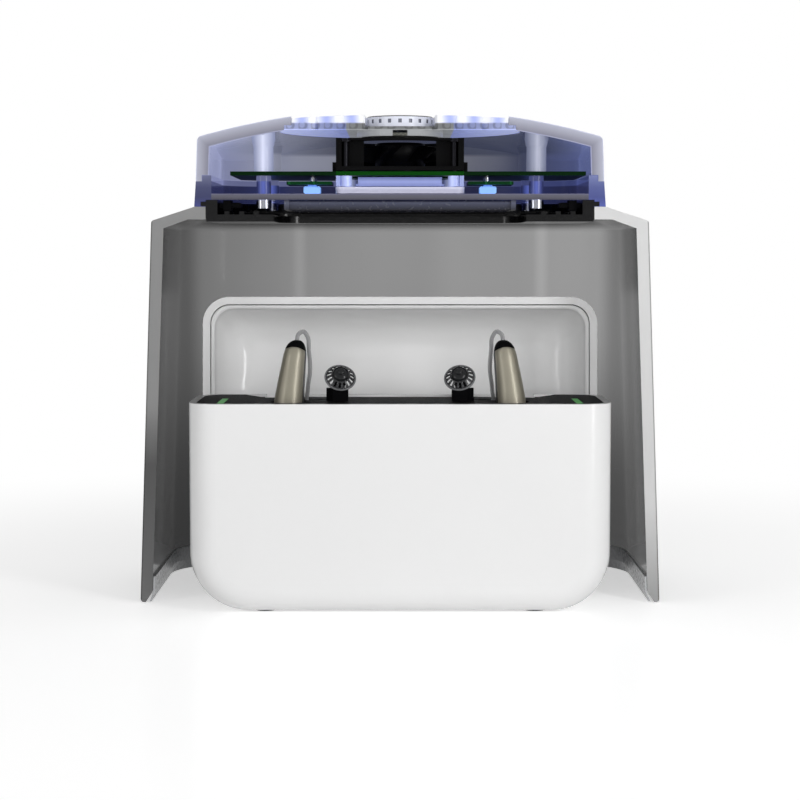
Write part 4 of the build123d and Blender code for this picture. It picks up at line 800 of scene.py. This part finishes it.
def lid_lining():
    """A smooth dish, closed all over. Each row is a rounded rectangle, inset by the profile's first value
    at the height of its second, with the lid shut; the whole is then turned open about the hinge."""
    profile = np.concatenate([curve_through(np.arange(7), line, np.linspace(0, 6, 31))
                              for line in (LINING_OUTSIDE, LINING_INSIDE)])
    inset, height = profile[:, :1], profile[:, 1:]
    angle = (np.arange(96) + 0.5)[None, :] * 2 * np.pi / 96
    half_x, half_y = (half - inset for half in LINING_HALF)
    corner = np.minimum(LINING_CORNER, half_y)
    x = np.sign(np.cos(angle)) * (half_x - corner) + corner * np.cos(angle)
    y = LINING_MIDDLE_Y + np.sign(np.sin(angle)) * (half_y - corner) + corner * np.sin(angle) - LID_HINGE[0]
    z = height - LID_HINGE[1] + 0 * angle
    cosine, sine = math.cos(-LID_OPEN), math.sin(-LID_OPEN)
    grid = np.stack([x, LID_HINGE[0] + y * cosine - z * sine, LID_HINGE[1] + y * sine + z * cosine], -1)
    skin("lid_lining", [grid], pale_plastic, "case_lid", ["lid_liner"])


lid_lining()


# ---- the fan's rotor ------------------------------------------------------------------------
FAN_Y = -8.0
FAN_BLADES = 7


def fan_rotor():
    """A turned cup, and seven blades. A blade is a run of flat ovals from the hub outwards: the oval's
    chord and its pitch fall off along the radius, and each oval is laid on its own circle."""
    cup = [(0.99, 132.6), (6.6, 132.6), (7.2, 132.35), (7.4, 131.8), (7.4, 125.8), (6.1, 125.8), (6.1, 131.4),
           (0.99, 131.4)]
    cup = turned([(r, z) for r, z in cup], 64, (0, FAN_Y, 0))
    span = np.linspace(0, 1, 12)[:, None]
    around = np.linspace(0, 2 * np.pi, 20, endpoint=False)[None, :]
    chord, pitch = 7.0 - 1.2 * span, np.radians(46 - 14 * span)
    thick = 1.0 - 0.4 * span
    radius = 7.0 + 8.7 * span
    run, lift = chord / 2 * np.cos(around), thick / 2 * np.sin(around) + 0.5 * (1 - np.cos(around) ** 2)
    ahead = run * np.cos(pitch) - lift * np.sin(pitch)
    height = run * np.sin(pitch) + lift * np.cos(pitch)
    blades = []
    for turn in np.arange(FAN_BLADES) * 2 * np.pi / FAN_BLADES:
        angle = turn + ahead / radius
        blades.append(np.stack([radius * np.cos(angle), FAN_Y + radius * np.sin(angle), 129.4 + height], -1))
    skin("fan_wheel", [cup] + blades, fan_plastic, "fan_rotor", ["fan_rotor"])


fan_rotor()


# ---- the studio -----------------------------------------------------------------------------
def lamp(name, at, towards, width, height, power, mirrored=True):
    """A soft light of that width and height, aimed at a point. One that is not mirrored lights surfaces
    but does not show in their gloss."""
    light = bpy.data.lights.new(name, "AREA")
    light.shape, light.size, light.size_y, light.energy = "RECTANGLE", width, height, power
    holder = bpy.data.objects.new(name, light)
    bpy.context.scene.collection.objects.link(holder)
    holder.location = at
    holder.rotation_euler = (Vector(towards) - Vector(at)).to_track_quat("-Z", "Y").to_euler()
    holder.visible_camera, holder.visible_glossy = False, mirrored


def soft_lights():
    """A wide light in front, strips to the right and the left, and a weak one above."""
    lamp("front_softbox", (0.05, -1.3, 0.17), (0, 0, 0.07), 1.0, 0.32, 6.0, mirrored=False)
    lamp("right_strip", (0.42, -0.5, 0.22), (0.02, 0, 0.06), 0.12, 0.5, 1.3)
    lamp("left_strip", (-0.6, -0.55, 0.25), (0, 0, 0.07), 0.12, 0.5, 0.6)
    lamp("top_softbox", (0.0, 0.25, 1.0), (0, 0, 0), 0.8, 0.8, 1.6)


def surroundings():
    """White to the eye and through glass, dimmer in reflections, and an even soft light from all round."""
    world = bpy.data.worlds.new("studio")
    bpy.context.scene.world = world
    world.use_nodes = True
    tree = world.node_tree
    path = add(tree, "LightPath").outputs
    direct = add(tree, "Math", [path["Is Camera Ray"], path["Is Transmission Ray"]], operation="MAXIMUM")
    soft = add(tree, "MapRange", [path["Is Glossy Ray"], 0.0, 1.0, 0.16, 0.4])
    strength = add(tree, "Math", [direct, soft], operation="MAXIMUM")
    sky = add(tree, "Background", {"Color": "#ffffff", "Strength": strength})
    output = next(node for node in tree.nodes if node.type == "OUTPUT_WORLD")
    tree.links.new(sky.outputs[0], output.inputs["Surface"])


def table_top():
    """A white card, 6 m wide, with a thin glaze. Near the object it shows its own shade and shadow, and
    further off it fades to plain white, like the backdrop."""
    mesh = bpy.data.meshes.new("table")
    half = 3.0
    corners = [(-half, -half, 0), (half, -half, 0), (half, half, 0), (-half, half, 0)]
    mesh.from_pydata(corners, [], [(0, 1, 2, 3)])
    table = bpy.data.objects.new("table", mesh)
    bpy.context.scene.collection.objects.link(table)
    made, tree, _ = finish("card_glazed_white", Roughness=1.0)
    here = add(tree, "TexCoord").outputs["Object"]
    away = add(tree, "VectorMath", [here], operation="LENGTH").outputs["Value"]
    path = add(tree, "LightPath").outputs
    seen = add(tree, "Math", [path["Is Camera Ray"], path["Is Glossy Ray"]], operation="MAXIMUM")
    fade = add(tree, "MapRange", [away, 0.1, 0.34, 0.0, 1.0], interpolation_type="SMOOTHSTEP")
    sheet = add(tree, "BsdfDiffuse", {"Color": "#ffffff"})
    glaze = add(tree, "BsdfGlossy", {"Color": "#ffffff", "Roughness": 0.1})
    coated = add(tree, "MixShader", [0.06, sheet, glaze])
    lift = add(tree, "Emission", {"Color": "#ffffff",
                                  "Strength": add(tree, "Math", [seen, 0.52], operation="MULTIPLY")})
    near = add(tree, "AddShader", [coated, lift])
    white = add(tree, "Emission", {"Color": "#ffffff", "Strength": 1.0})
    shown = add(tree, "MixShader", [add(tree, "Math", [fade, seen], operation="MULTIPLY"), near, white])
    output = next(node for node in tree.nodes if node.type == "OUTPUT_MATERIAL")
    tree.links.new(shown.outputs[0], output.inputs["Surface"])
    mesh.materials.append(made)


def camera():
    """A long lens a little above the case's rim, looking slightly down."""
    holder = bpy.data.objects.new("camera", bpy.data.cameras.new("camera"))
    bpy.context.scene.collection.objects.link(holder)
    holder.data.lens = 88.9
    holder.data.clip_start = 0.01
    holder.location = (0.0, -0.5905, 0.1015)
    holder.rotation_euler = (math.radians(90 - 4.34), 0, 0)
    bpy.context.scene.camera = holder
    bpy.context.scene.view_settings.view_transform = "Standard"
    bpy.context.scene.cycles.transparent_max_bounces = 24


soft_lights()
surroundings()
table_top()
camera()
